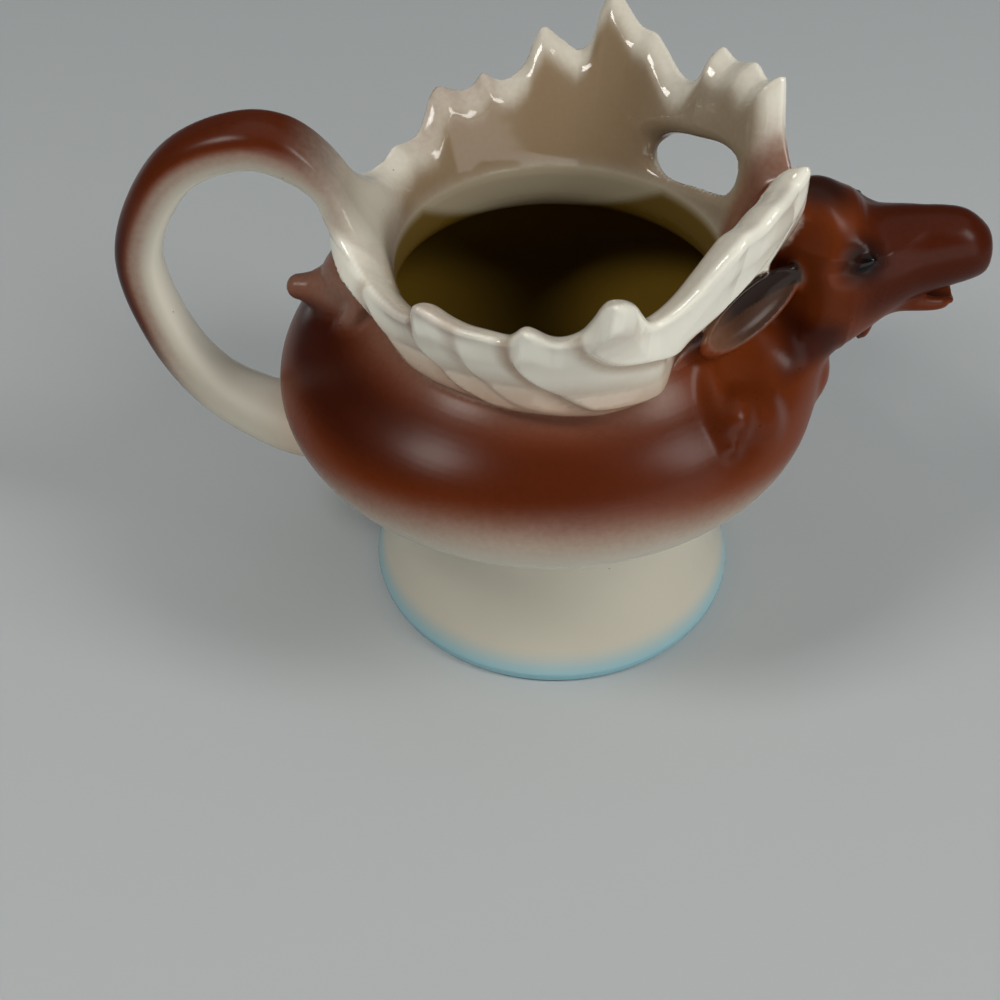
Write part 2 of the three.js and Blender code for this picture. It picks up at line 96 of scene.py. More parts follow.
# Body
WAIST_RADIUS = 33.8
FOOT_LIP = 2.2
FOOT_RING = 5.5
FOOT_RECESS = 3.0
FLOOR_Z = 7.0
FLARE_BEND = 0.35
BULB_Z = 53.8
BULB_RISE = 23.5
BULB_SWELL = 11.0
BULB_LEAN = 2.0
WAIST_RUN = 9.0
WALL = 3.6
RIM_WIDTH = 5.4
MOUTH_RADIUS = SHOULDER_RADIUS - RIM_WIDTH
THROAT_Z = 74.0
SHOULDER_ROUND = 3.0
BULB_STEPS = 24
CORNER_STEPS = 8
FLOOR_STEPS = 5

# Photograph's view
CAMERA_TARGET = (-11.467, 0.0, 14.227)
CAMERA_AZIMUTH = math.radians(3.154)
CAMERA_ELEVATION = math.radians(44.78)
CAMERA_ROLL = math.radians(-0.436)
CAMERA_DISTANCE = 326.2
CAMERA_LENS = 54.0
CLIP_START = 0.01


def make_camera():
    az, el, roll = CAMERA_AZIMUTH, CAMERA_ELEVATION, CAMERA_ROLL
    back = Vector((math.sin(az) * math.cos(el), -math.cos(az) * math.cos(el), math.sin(el)))
    level = Vector((math.cos(az), math.sin(az), 0))
    above = back.cross(level)
    right = math.cos(roll) * level + math.sin(roll) * above
    up = math.cos(roll) * above - math.sin(roll) * level
    target = Vector(CAMERA_TARGET) + Vector((AXIS_X, 0, 0))
    place = (target + CAMERA_DISTANCE * back) * MM
    data = bpy.data.cameras.new("camera")
    data.lens = CAMERA_LENS
    data.clip_start = CLIP_START
    camera = bpy.data.objects.new("camera", data)
    camera.matrix_world = Matrix.Translation(place) @ Matrix((right, up, back)).transposed().to_4x4()
    bpy.context.scene.collection.objects.link(camera)
    bpy.context.scene.camera = camera


# Stage: lights are (direction from the jug, distance in m, width in m, height in m, watts, colour)
LIGHTS = {
    "window_left": ((-0.56, -0.28, 0.78), 0.9, 0.24, 0.24, 2.6, (1.0, 0.97, 0.92)),
    "window_right": ((0.69, -0.24, 0.68), 1.0, 0.25, 0.4, 3.0, (1.0, 0.98, 0.94)),
    "ceiling": ((0.1, 0.25, 0.96), 1.3, 1.8, 1.4, 3.6, (0.97, 0.99, 1.0)),
    "front": ((0.5, -0.84, 0.2), 1.5, 2.4, 1.0, 11.5, (1.0, 0.99, 0.96)),
}
FLOOR_COLOUR = (0.55, 0.58, 0.59, 1)
SKY_COLOUR = (0.62, 0.66, 0.7, 1)
SKY_STRENGTH = 0.08
FLOOR_SIZE = 14.0
FLOOR_ROUGHNESS = 0.9
FLOOR_SHINE = 0.1
LIGHT_TARGET = (0, 0, 0.06)


def make_stage():
    bpy.ops.mesh.primitive_plane_add(size=FLOOR_SIZE)
    floor = bpy.context.object
    floor.name = "floor"
    material = bpy.data.materials.new("floor")
    material.use_nodes = True
    shader = material.node_tree.nodes["Principled BSDF"]
    shader.inputs["Base Color"].default_value = FLOOR_COLOUR
    shader.inputs["Roughness"].default_value = FLOOR_ROUGHNESS
    shader.inputs["Specular IOR Level"].default_value = FLOOR_SHINE
    floor.data.materials.append(material)
    middle = Vector(LIGHT_TARGET)
    for name, (direction, distance, width, height, watts, colour) in LIGHTS.items():
        data = bpy.data.lights.new(name, "AREA")
        data.shape = "RECTANGLE"
        data.size = width
        data.size_y = height
        data.energy = watts
        data.color = colour
        light = bpy.data.objects.new(name, data)
        light.location = middle + distance * Vector(direction).normalized()
        light.rotation_euler = (middle - light.location).to_track_quat("-Z", "Y").to_euler()
        bpy.context.scene.collection.objects.link(light)
    world = bpy.data.worlds.new("sky")
    world.use_nodes = True
    sky = world.node_tree.nodes["Background"]
    sky.inputs["Color"].default_value = SKY_COLOUR
    sky.inputs["Strength"].default_value = SKY_STRENGTH
    bpy.context.scene.world = world
    bpy.context.scene.view_settings.view_transform = "Standard"


# Field tools
CURVE_STEPS = 16
LIMB_SPANS = 5


def lerp(a, b, share):
    return a + (b - a) * share


def ramp(value, low, high):
    share = np.clip((value - low) / (high - low), 0, 1)
    return share * share * (3 - 2 * share)


def soft_min(a, b, reach):
    overlap = np.maximum(reach - np.abs(a - b), 0) / reach
    return np.minimum(a, b) - overlap * overlap * reach / 4


def soft_max(a, b, reach):
    return -soft_min(-a, -b, reach)


def most(*values):
    return np.maximum.reduce(values)


def round_max(a, b, reach):
    """Both at once, their common edge rounded with a radius."""
    a, b = a + reach, b + reach
    return np.minimum(np.maximum(a, b), 0) + np.hypot(np.maximum(a, 0), np.maximum(b, 0)) - reach


def spline(stations, per_span):
    """Points of a smooth curve through the stations."""
    s = np.asarray(stations, float)
    padded = np.vstack([2 * s[0] - s[1], s, 2 * s[-1] - s[-2]])
    t = np.linspace(0, 1, per_span, endpoint=False)[:, None]
    spans = []
    for before, start, end, after in zip(padded, padded[1:], padded[2:], padded[3:]):
        bend = 2 * before - 5 * start + 4 * end - after
        twist = 3 * start - before - 3 * end + after
        spans.append(start + 0.5 * ((end - before) * t + bend * t**2 + twist * t**3))
    return np.vstack(spans + [s[-1:]])


def bezier(*points, steps=CURVE_STEPS):
    """Points of a curve drawn by any number of control points."""
    t = np.linspace(0, 1, steps)[:, None]
    layer = [np.asarray(p, float)[None] for p in points]
    while len(layer) > 1:
        layer = [a * (1 - t) + b * t for a, b in zip(layer, layer[1:])]
    return layer[0]


def outline_distance(points, outline):
    """Signed distance of points in a plane to a closed outline, negative inside."""
    closest = np.full(len(points), np.inf)
    inside = np.zeros(len(points), bool)
    for a, b in zip(outline, np.roll(outline, -1, axis=0)):
        edge = b - a
        run = max(edge @ edge, TINY)
        offset = points - a
        t = np.clip(offset @ edge / run, 0, 1)
        gap = offset - t[:, None] * edge
        closest = np.minimum(closest, (gap * gap).sum(1))
        crosses = (a[1] > points[:, 1]) != (b[1] > points[:, 1])
        rise = edge[1] if abs(edge[1]) > TINY else TINY
        inside ^= crosses & (offset[:, 0] < edge[0] * offset[:, 1] / rise)
    return np.where(inside, -1, 1) * np.sqrt(closest)


class Chart:
    """An outline's distance drawn on a fine grid, and read back between the grid's points."""

    STEP = 0.4
    LAST_CELL = 1.001

    def __init__(self, outline, low, high):
        self.low = np.array(low, float)
        self.shape = np.ceil((np.array(high) - self.low) / self.STEP).astype(int) + 1
        a, b = np.meshgrid(*[np.arange(n) for n in self.shape], indexing="ij")
        points = np.stack([a.ravel(), b.ravel()], 1) * self.STEP + self.low
        self.values = outline_distance(points, np.asarray(outline, float)).reshape(self.shape)

    def __call__(self, first, second):
        place = (np.stack([first, second], 1) - self.low) / self.STEP
        place = np.clip(place, 0, self.shape - self.LAST_CELL)
        cell = place.astype(int)
        i, j = cell.T
        f, g = (place - cell).T
        v = self.values
        lower = v[i, j] * (1 - f) + v[i + 1, j] * f
        upper = v[i, j + 1] * (1 - f) + v[i + 1, j + 1] * f
        return lower * (1 - g) + upper * g


def unit(v):
    v = np.asarray(v, float)
    return v / np.maximum(np.linalg.norm(v, axis=-1, keepdims=True), TINY)


def oval(a, b, c, half, blunt=2.0):
    """Distance to an ellipsoid, or a blunter one, from coordinates along its axes, true near it."""
    parts = [np.abs(v) / h for v, h in zip((a, b, c), half)]
    k = sum(part**blunt for part in parts) ** (1 / blunt)
    g = np.sqrt(sum((part ** (blunt - 1) / h) ** 2 for part, h in zip(parts, half)))
    return k ** (blunt - 1) * (k - 1) / np.maximum(g, TINY)


class Form:
    """A form with a box: far from the box its distance is the box's."""

    def __call__(self, p):
        gap = np.maximum(np.maximum(self.low - p, p - self.high), 0)
        d = np.sqrt((gap * gap).sum(1))
        near = d < FAR
        if near.any():
            d[near] = self.distance(p[near])
        return d


class Limb(Form):
    """An oval section carried along stations [x, y, z, half width, half depth], widest along across."""

    STRIDE = 6
    LEAST_HALF = 0.2

    def __init__(self, stations, across=(0, 1, 0), per_span=LIMB_SPANS, blunt=2.0):
        dense = spline(stations, per_span)
        self.blunt = blunt
        self.path = dense[:, :3]
        self.half = np.maximum(dense[:, 3:5], self.LEAST_HALF)
        self.along = unit(np.gradient(self.path, axis=0))
        across = np.asarray(across, float)
        self.wide = unit(across - (self.along @ across)[:, None] * self.along)
        self.deep = np.cross(self.along, self.wide)
        reach = self.half.max(1)[:, None]
        self.low = (self.path - reach).min(0)
        self.high = (self.path + reach).max(0)

    def distance(self, p):
        near = np.zeros(len(p), int)
        best = np.full(len(p), np.inf)
        for i in range(0, len(self.path), self.STRIDE):
            gap = p - self.path[i]
            gap = (gap * gap).sum(1)
            closer = gap < best
            best[closer] = gap[closer]
            near[closer] = i
        best[:] = np.inf
        place = np.zeros(len(p))
        for shift in range(-self.STRIDE, self.STRIDE):
            i = np.clip(near + shift, 0, len(self.path) - 2)
            a = self.path[i]
            edge = self.path[i + 1] - a
            t = np.clip(((p - a) * edge).sum(1) / (edge * edge).sum(1), 0, 1)
            gap = p - a - t[:, None] * edge
            gap = (gap * gap).sum(1)
            closer = gap < best
            best[closer] = gap[closer]
            place[closer] = (i + t)[closer]
        i = np.minimum(place.astype(int), len(self.path) - 2)
        f = (place - i)[:, None]
        centre, half, wide, deep, along = (
            v[i] * (1 - f) + v[i + 1] * f for v in (self.path, self.half, self.wide, self.deep, self.along)
        )
        offset = p - centre
        a, b, c = ((offset * axis).sum(1) for axis in (wide, deep, along))
        return oval(a, b, c, (half[:, 0], half[:, 1], half.min(1)), self.blunt)


class Loft(Form):
    """Oval sections across a straight axis, their centres bending along another: rows as for a limb."""

    TABLE = 24
    LEAST_SQUARE = 0.05
    STEEPEST = 2
    END_ROUND = 0.4

    def __init__(self, axis, bend, rows):
        rows = np.asarray(rows, float)
        self.axis = axis
        self.bend = bend
        columns = [rows[:, axis], rows[:, bend], rows[:, 3] ** 2, rows[:, 4] ** 2]
        table = spline(np.stack(columns, 1), self.TABLE)
        self.place = table[:, 0]
        self.columns = table[:, 1:].T
        self.slopes = [np.gradient(column, self.place) for column in self.columns]
        reach = rows[:, 3:].max()
        self.low = rows[:, :3].min(0) - reach
        self.high = rows[:, :3].max(0) + reach

    def distance(self, p):
        t, bent, y = p[:, self.axis], p[:, self.bend], p[:, 1]
        centre, wide, deep = (np.interp(t, self.place, column) for column in self.columns)
        centre_slope, wide_slope, deep_slope = (np.interp(t, self.place, slope) for slope in self.slopes)
        wide = np.maximum(wide, self.LEAST_SQUARE)
        deep = np.maximum(deep, self.LEAST_SQUARE)
        off = bent - centre
        out = np.maximum(np.hypot(y, off), TINY)
        side, up = y / out, off / out
        radius = 1 / np.sqrt(side**2 / wide + up**2 / deep)
        growth = side**2 * wide_slope / wide**2 + up**2 * deep_slope / deep**2
        slope = np.clip(radius**3 / 2 * growth + up * centre_slope, -self.STEEPEST, self.STEEPEST)
        d = (out - radius) / np.sqrt(1 + slope**2)
        d = soft_max(d, t - self.place[-1], self.END_ROUND)
        return soft_max(d, self.place[0] - t, self.END_ROUND)


class Egg(Form):
    """An ellipsoid: centre, half sizes, and the directions of its first two axes."""

    def __init__(self, centre, half, first=(1, 0, 0), second=(0, 1, 0)):
        self.centre = np.asarray(centre, float)
        self.half = half
        first = unit(first)
        second = unit(np.asarray(second, float) - first * (first @ np.asarray(second, float)))
        self.axes = np.stack([first, second, np.cross(first, second)])
        self.low = self.centre - max(half)
        self.high = self.centre + max(half)

    def distance(self, p):
        return oval(*((p - self.centre) @ self.axes.T).T, self.half)


# Body of revolution


def flare():
    bend = (WAIST_RADIUS, lerp(FOOT_LIP, WAIST_Z, FLARE_BEND))
    return bezier((FOOT_RADIUS, FOOT_LIP), bend, (WAIST_RADIUS, WAIST_Z))


def bulb():
    swell = bezier(
        (WAIST_RADIUS, WAIST_Z),
        (WAIST_RADIUS, WAIST_Z + WAIST_RUN),
        (BULB_RADIUS, BULB_Z - BULB_SWELL),
        (BULB_RADIUS, BULB_Z),
        steps=BULB_STEPS,
    )
    angle = np.linspace(0, math.acos(MOUTH_RADIUS / BULB_RADIUS), BULB_STEPS)[1:]
    dome = np.stack([BULB_RADIUS * np.cos(angle), BULB_Z + BULB_RISE * np.sin(angle)], 1)
    return np.vstack([swell, dome])


def body_outline():
    lip = [(0, 0), (FOOT_RADIUS - FOOT_LIP / 2, 0), (FOOT_RADIUS - FOOT_LIP / 8, FOOT_LIP / 4)]
    end = SHOULDER_RADIUS + SHOULDER_ROUND
    shoulder = [point for point in bulb() if point[1] < BULB_Z or point[0] > end]
    run = shoulder[-1] - shoulder[-2]
    corner = shoulder[-1] + run * (SHOULDER_RADIUS - shoulder[-1][0]) / run[0]
    top = (MOUTH_RADIUS, MOUTH_Z)
    neck = bezier(shoulder[-1], corner, (corner + top) / 2, steps=CORNER_STEPS)
    return np.vstack([lip, flare(), shoulder, neck[1:], [top, (0, MOUTH_Z)]])


def cavity_outline():
    shell = bulb()
    along = unit(np.gradient(shell, axis=0))
    inside = shell + WALL * np.stack([-along[:, 1], along[:, 0]], 1)
    inside = inside[(inside[:, 1] < BULB_Z) | (inside[:, 0] > MOUTH_RADIUS + WALL)]
    start = np.array([WAIST_RADIUS - WALL, FLOOR_Z])
    bottom = bezier((start[0] - WALL, FLOOR_Z), start, (start[0], FLOOR_Z + WALL), steps=FLOOR_STEPS)
    bend = (MOUTH_RADIUS, inside[-1][1] + WALL / 4)
    throat = bezier(inside[-1], bend, (MOUTH_RADIUS, THROAT_Z), steps=CORNER_STEPS)
    open_top = [(MOUTH_RADIUS, MOUTH_Z + FAR), (0, MOUTH_Z + FAR)]
    return np.vstack([[(0, FLOOR_Z)], bottom, inside, throat, open_top])


def recess_outline():
    radius = FOOT_RADIUS - FOOT_RING
    top = [(radius - FOOT_RECESS / 2, FOOT_RECESS), (0, FOOT_RECESS)]
    return np.array([(0, -FAR), (radius, -FAR), (radius, 0), *top])


CHART_LOW = (-3.0, -3.0)
CHART_HIGH = (BULB_RADIUS + FAR, MOUTH_Z + FAR)
body_chart = Chart(body_outline(), CHART_LOW, CHART_HIGH)
cavity_chart = Chart(cavity_outline(), CHART_LOW, CHART_HIGH)
recess_chart = Chart(recess_outline(), CHART_LOW, CHART_HIGH)


def leaned_radius(p):
    share = np.clip((p[:, 2] - WAIST_Z) / (SHOULDER_Z - WAIST_Z), 0, 1)
    return np.hypot(p[:, 0] + BULB_LEAN * np.sin(math.pi * share), p[:, 1])


# Antlers, by degrees from the head: height of the scalloped edge over the mouth, left and right
LEFT_EDGE = np.array([
    [8, 14], [12.5, 17.5], [16, 21], [18.5, 25], [21.5, 29], [25, 27.3], [28.5, 26], [34, 27.3],
    [40.5, 25.6], [46.5, 26.6], [49, 22.5], [51.5, 19.2], [54.5, 18], [58, 18.6], [62.5, 21], [67, 23.2],
    [72, 23.6], [77, 26.8], [80, 28], [82.3, 25], [84, 19.6], [87, 17.6], [91, 19.2], [95.5, 21.4],
    [98.5, 19], [101, 15.6], [105.5, 13.6], [109, 13.8], [112.5, 15.2], [116, 13.4], [120, 13.2],
    [125.5, 14.8], [129.5, 13.2], [132.5, 10.8], [136.5, 8.6], [141, 8.4], [145.5, 8.8], [150, 8],
    [156, 8], [165, 9], [182, 10],
])
RIGHT_EDGE = np.array([
    [8, 14], [12.5, 20], [17.5, 28.5], [22, 26.6], [27, 26.8], [34, 27.3], [39, 26], [45, 26], [50, 24.6],
    [54, 22], [58, 19], [62, 16.6], [66, 15], [69, 15.6], [72, 19.4], [75, 24], [78, 26.8], [80.5, 27.6],
    [82, 25.8], [83.2, 21], [85, 17], [88, 15], [91, 15.2], [94.5, 17.6], [97, 17.8], [99.5, 14.8],
    [102, 13], [107, 13.2], [112, 13.2], [116, 14.2], [119.5, 16], [122.5, 15.8], [125.5, 12.6],
    [128.5, 9.2], [133, 7.4], [140, 6.6], [150, 6.4], [160, 7.6], [170, 9], [182, 10],
])
# Outward lean of the inner face, thickness at the edge, thickness at the root, and height of the skirt
LEAN = np.array([
    [8, 0.5], [12.5, 0.36], [17, 0.26], [22, 0.22], [45, 0.23], [55, 0.3], [65, 0.42], [73, 0.54],
    [80, 0.62], [90, 0.66], [97, 0.64], [104, 0.6], [115, 0.58], [130, 0.56], [180, 0.5],
])
EDGE_THICK = np.array([[0, 4.5], [17, 6], [48, 6.5], [60, 5.6], [72, 4.6], [95, 4.2], [130, 4.6], [180, 5]])
ROOT_THICK = np.array([
    [0, 4], [48, 4], [62, RIM_WIDTH], [118, RIM_WIDTH], [145, 7.6], [160, 8.6], [180, 8.6],
])
SKIRT = np.array([
    [0, 0.6], [35, 0.6], [45, 2.2], [51, 2], [59, -0.6], [68, -3.4], [78, -5.2], [90, -5.9], [118, -6.1],
    [130, -3.9], [144, -0.6], [152, 2.4], [158, 4.6], [180, 5.4],
])
EDGE_SLANT = 0.5
SKIRT_SLOPE = 1.6
SKIRT_END = -7.0
ARC = 0.73
PETAL_STEP = 1.9
PETAL_FADE = 8.0
PETAL_END = 7.0
PETAL_EDGE = (-0.4, 1.7)
PETAL_FLAT = 1.0
FACE_ROUND = 2.0
HEM_ROUND = 1.6

# Rear edges of the petals on the outside: degrees from the head, height over the mouth, from the skirt up
PETALS = [
    [(51, -7), (99, -6), (110.7, -4.6), (119.7, -2.3), (126, 3.7), (126.5, 9), (125.5, 14), (125, 30)],
    [(40, -5), (75, -4), (83.3, -3), (93.7, 1.3), (99.5, 7), (100, 13), (98.6, 18), (98, 30)],
    [
        (20, 18), (33, 15), (44, 10.6), (51.7, 7), (57.3, 5.2), (70.7, 6.6), (78.3, 8.9), (83.6, 13.8),
        (85, 18), (86, 30),
    ],
    [(80, -7), (127.3, -6), (137, -3), (146, 1), (150.5, 4.6), (150.5, 8), (150, 30)],
    [(60, -7), (92, -5), (104, -2.6), (112, 1.5), (114, 6), (113.5, 10), (113, 14), (113, 30)],
]
PETAL_SHARES = (1, 1, 0.8, 0.6, 0.45)
BAND = 2
BAND_UNDERCUT = 2.4
BAND_EDGE = (1.0, -1.5)
BAND_END = (64, 52)
EDGE_ROUND = 0.45
SPAN_STEPS = 4
CHART_FOOT = -30.0
CHART_CORNER = (-20.0, 60.0)
CHART_BASE = -40.0


def edge_outline(edge):
    line = spline(edge * (ARC, 1), SPAN_STEPS)
    return np.vstack([[(line[0][0], CHART_FOOT)], line, [(line[-1][0], CHART_FOOT)]])


def petal_outline(edge):
    line = spline(np.array(edge) * (ARC, 1), SPAN_STEPS)
    return np.vstack([line, [CHART_CORNER, (CHART_CORNER[0], CHART_BASE), (line[0][0], CHART_BASE)]])


LAST_DEGREES = 182
ANTLER_LOW = (-4.0, -14.0)
ANTLER_HIGH = (LAST_DEGREES * ARC, 44.0)
left_chart = Chart(edge_outline(LEFT_EDGE), ANTLER_LOW, ANTLER_HIGH)
right_chart = Chart(edge_outline(RIGHT_EDGE), ANTLER_LOW, ANTLER_HIGH)
petal_charts = [Chart(petal_outline(edge), ANTLER_LOW, ANTLER_HIGH) for edge in PETALS]

# The hole through a palm
HOLE_ANGLE = math.radians(41)
HOLE_SLOPE = math.radians(-13)
HOLE_DIP = math.radians(-20)
HOLE_HALF = (11.4, 4.4)
HOLE_RISE = 6.6
HOLE_BLUNT = 2.8
HOLE_ROUND = 3.0
hole_turn = np.array(
    Matrix.Rotation(HOLE_ANGLE - math.pi / 2, 3, "Z")
    @ Matrix.Rotation(HOLE_DIP, 3, "X")
    @ Matrix.Rotation(HOLE_SLOPE, 3, "Y")
)
hole_centre = np.array([
    SHOULDER_RADIUS * math.cos(HOLE_ANGLE), SHOULDER_RADIUS * math.sin(HOLE_ANGLE), MOUTH_Z + HOLE_RISE,
])


def antler_hole(p):
    a, along, b = ((p - hole_centre) @ hole_turn).T
    parts = [np.abs(v / half) ** HOLE_BLUNT for v, half in zip((a, b), HOLE_HALF)]
    k = sum(parts) ** (1 / HOLE_BLUNT)
    return np.maximum((k - 1) * HOLE_HALF[1], np.abs(along) - SHOULDER_RADIUS / 2)


def by_degrees(table, degrees):
    return np.interp(degrees, table[:, 0], table[:, 1])


def antler(p, right):
    """A palm bent round the rim: inner face, outer face with its petals, scalloped edge, skirt and hole."""
    x, y, z = p.T
    rise = z - MOUTH_Z
    degrees = np.degrees(np.arctan2(y, x))
    radius = np.hypot(x, y)
    lean = by_degrees(LEAN, degrees)
    tip = np.where(right, by_degrees(RIGHT_EDGE, degrees), by_degrees(LEFT_EDGE, degrees))
    skirt = by_degrees(SKIRT, degrees)
    thick = by_degrees(EDGE_THICK, degrees)
    up = np.clip((rise - skirt) / (tip - skirt), 0, 1)
    inner = MOUTH_RADIUS + lean * np.maximum(rise, 0)
    outer = inner + lerp(by_degrees(ROOT_THICK, degrees), thick, up)
    middle = (inner + outer) / 2
    arc = degrees * ARC
    for chart, share in zip(petal_charts, PETAL_SHARES):
        depth = -chart(arc, rise)
        step = ramp(depth, *PETAL_EDGE) * np.exp(-np.maximum(depth - PETAL_FLAT, 0) / PETAL_FADE)
        outer += PETAL_STEP * share * step * ramp(tip - rise, 0, PETAL_END)
    under = ramp(-petal_charts[BAND](arc, rise), *BAND_EDGE) * ramp(degrees, *BAND_END)
    outer -= BAND_UNDERCUT * under
    slope = np.sqrt(1 + lean * lean)
    d = soft_max((inner - radius) / slope, (radius - outer) / slope, FACE_ROUND)
    slanted = rise - EDGE_SLANT * (radius - middle)
    edge = np.where(right, right_chart(arc, slanted), left_chart(arc, slanted))
    d = round_max(d, edge, EDGE_ROUND * thick)
    hem = (skirt - rise - SKIRT_SLOPE * (outer - radius)) / math.hypot(1, SKIRT_SLOPE)
    d = soft_max(d, np.maximum(hem, SKIRT_END - rise), HEM_ROUND)
    return soft_max(d, -antler_hole(p), HOLE_ROUND)


# Handle: share of the way from rim to back, share from bulb to top, half width, half depth
HANDLE_DEPTH = 8.8
REAR_LEAN = 0.5
HANDLE_BLUNT = 2.5
HANDLE_SPANS = 24
FINE_SPANS = 12
HANDLE_STATIONS = [
    [0, 0.6, 10, 4], [0.1, 0.74, 8.4, 4.4], [0.25, 0.9, 6.6, 4.6], [0.5, 1, 6, 4.6], [0.8, 0.87, 5.4, 4.4],
    [0.992, 0.51, 4.9, 4.4], [0.942, 0.13, 5.4, 4.4], [0.78, -0.165, 6.2, 4.6], [0.52, -0.34, 8, 5.2],
    [0.3, -0.39, 9, 5.5],
]


def handle_form():
    back = HANDLE_DEPTH / 2 - HANDLE_REACH
    top = HANDLE_TOP - HANDLE_DEPTH / 2
    stations = [
        (lerp(-MOUTH_RADIUS, back, reach), 0, lerp(BULB_Z, top, height), wide, deep)
        for reach, height, wide, deep in HANDLE_STATIONS
    ]
    return Limb(stations, per_span=HANDLE_SPANS, blunt=HANDLE_BLUNT)


# Head: distance behind the muzzle's tip, height over the head's axis, half width, half depth
HEAD_RISE = 4.6
HEAD_Z = MOUTH_Z + HEAD_RISE
HEAD_ROWS = [
    [39.3, 2, 3, 3], [37.3, 1.5, 6, 7], [34.8, 0.4, 9, 9.8], [30.8, -2, 12.4, 13.4], [27, -3, 12.6, 13.4],
    [25.3, -3.2, 11.8, 12.4], [23.6, -3.6, 10.8, 11.2], [21.3, -3.5, 10, 10.2], [19.4, -3, 9.5, 9.7],
    [16.3, -2, 8.9, 9.1], [13.3, -1.1, 8.2, 8.5], [9.4, -0.2, 7.5, 7.8], [6.3, 0.3, 6.9, 7],
    [3.9, 0.2, 6.1, 6], [1.4, -0.3, 4.4, 4.3], [0.4, -0.5, 2.2, 2.2], [0.1, -0.5, 0.6, 0.6],
]
JAW_STATIONS = [
    [18, -9, 6.4, 3.6], [13, -9.7, 5.8, 2.8], [9.6, -10.3, 5, 2.2], [7.4, -10.4, 4.2, 1.9],
    [6.1, -10.2, 3, 1.5],
]
BEARD_STATIONS = [[21, -13.6, 3, 2], [20.4, -16.6, 2.8, 1.8], [20.4, -19.4, 2.2, 1.2], [20.8, -21, 1, 0.6]]
HEAD_CHANNEL = [
    [21.5, -4.6, 5, 4.6], [14.5, -6, 4, 3.6], [8.5, -7.7, 3.2, 2.6], [3, -8.1, 3, 2.4], [-2, -8.2, 3, 2.6],
]


def behind_muzzle(stations):
    return [(HEAD_REACH - back, 0, HEAD_Z + rise, wide, deep) for back, rise, wide, deep in stations]


# Neck: height, place ahead of the axis, half width, half depth
NECK_ROWS = [
    [46, 30, 17, 12], [54, 33, 17.5, 13.6], [58, 36, 16.5, 13], [62, 39.5, 14.6, 12.4],
    [66.5, 44, 12.8, 12], [70, 47.2, 12, 12], [75, 50, 11.4, 11.6], [80, 51.5, 10.8, 11], [85, 51.5, 9, 9],
]
NECK_CHANNEL = [(28.7, 0, 46.6, 8, 7), (41.5, 0, 62.6, 8, 7), (46.3, 0, 70, 8, 6.6), (50, 0, 76.6, 7, 6)]

# Crest: distance outside the mouth, rise above it, half width, half depth
CREST_STATIONS = [[2.6, 0.8, 4.6, 2.4], [4.6, 7, 5, 3.2], [8.4, 12.6, 5.4, 3.4], [14, 13.8, 5, 2.6]]

# Folds of the neck on the bulb, and the mane behind: stations on the left side
NECK_RIDGE = [
    (26, 21.2, 71.8, 1, 1), (27.4, 25.2, 70.6, 1.3, 1.3), (28.8, 30, 67.8, 1.4, 1.4),
    (31.2, 34.6, 63.8, 1.1, 1.1),
]
NECK_BULGE = ((31.6, 29, 66), (4, 5, 4))
CHEST_BULGE = ((36.8, 25.6, 63.2), (3, 3.4, 3.2))
CHEST_TUFT = [(49.8, 4, 60.4, 2, 1.6), (49.6, 4.4, 56.6, 2.6, 2), (49, 4.2, 53, 1.2, 1)]
REAR_STATIONS = [
    (-36.5, 0, 78, 11.5, 4.5), (-39, 0, 75, 9.4, 5), (-42.5, 0, 71.6, 6, 4.4), (-46.5, 0, 70.4, 3.6, 3.2),
    (-49.8, 0, 70.4, 2.6, 2.4),
]
MANE_STATIONS = [(-36.4, 10.4, 75, 2, 1.2), (-38, 9.8, 71.6, 2.2, 1.4), (-40, 9, 68, 1, 0.8)]

# Ear: a leaf lying back under the antler, hollowed on its outer face
EAR_CENTRE = np.array([34.3, 17.0, 80.2])
EAR_LENGTH = np.array([-0.69, 0.69, -0.22])
EAR_WIDTH = np.array([-0.3, -0.2, 0.93])
EAR_HALF = (13, 4.4, 2.8)
EAR_SCOOP = (11.8, 4.4, 2.2)
EAR_SCOOP_OUT = 1.9
EAR_SCOOP_UP = 1.3
FAR_EAR_DROP = 3.0

# Eye
EYE_CENTRE = np.array([HEAD_REACH - 26, 10.3, HEAD_Z + 2.7])
EYE_HALF = (3.3, 1.4, 1.7)
EYE_ALONG = (0.86, 0.1, 0.5)
EYE_OUT = (0, 0.8, 0.6)
SOCKET_SHIFT = np.array([0, 2.4, 1])
SOCKET_HALF = (4.6, 1.6, 2.6)
BROW_CENTRE = (HEAD_REACH - 27.6, 7.4, HEAD_Z + 3.5)
BROW_HALF = (3.4, 2, 1.6)
BROW_ALONG = (1, 0, 0.05)
BROW_OUT = (0, 0.7, 0.6)

ear_leaf = Egg(EAR_CENTRE, EAR_HALF, EAR_LENGTH, EAR_WIDTH)
ear_out = ear_leaf.axes[2] * np.sign(ear_leaf.axes[2][1])
scoop_centre = EAR_CENTRE + EAR_SCOOP_OUT * ear_out + EAR_SCOOP_UP * unit(EAR_WIDTH)
ear_scoop = Egg(scoop_centre, EAR_SCOOP, EAR_LENGTH, EAR_WIDTH)
brow = Egg(BROW_CENTRE, BROW_HALF, BROW_ALONG, BROW_OUT)
socket = Egg(EYE_CENTRE + SOCKET_SHIFT, SOCKET_HALF, EYE_ALONG, EYE_OUT)
chest_tuft = Limb(CHEST_TUFT)
neck_bulge = Egg(*NECK_BULGE)
crest = [(MOUTH_RADIUS + out, 0, MOUTH_Z + up, wide, deep) for out, up, wide, deep in CREST_STATIONS]

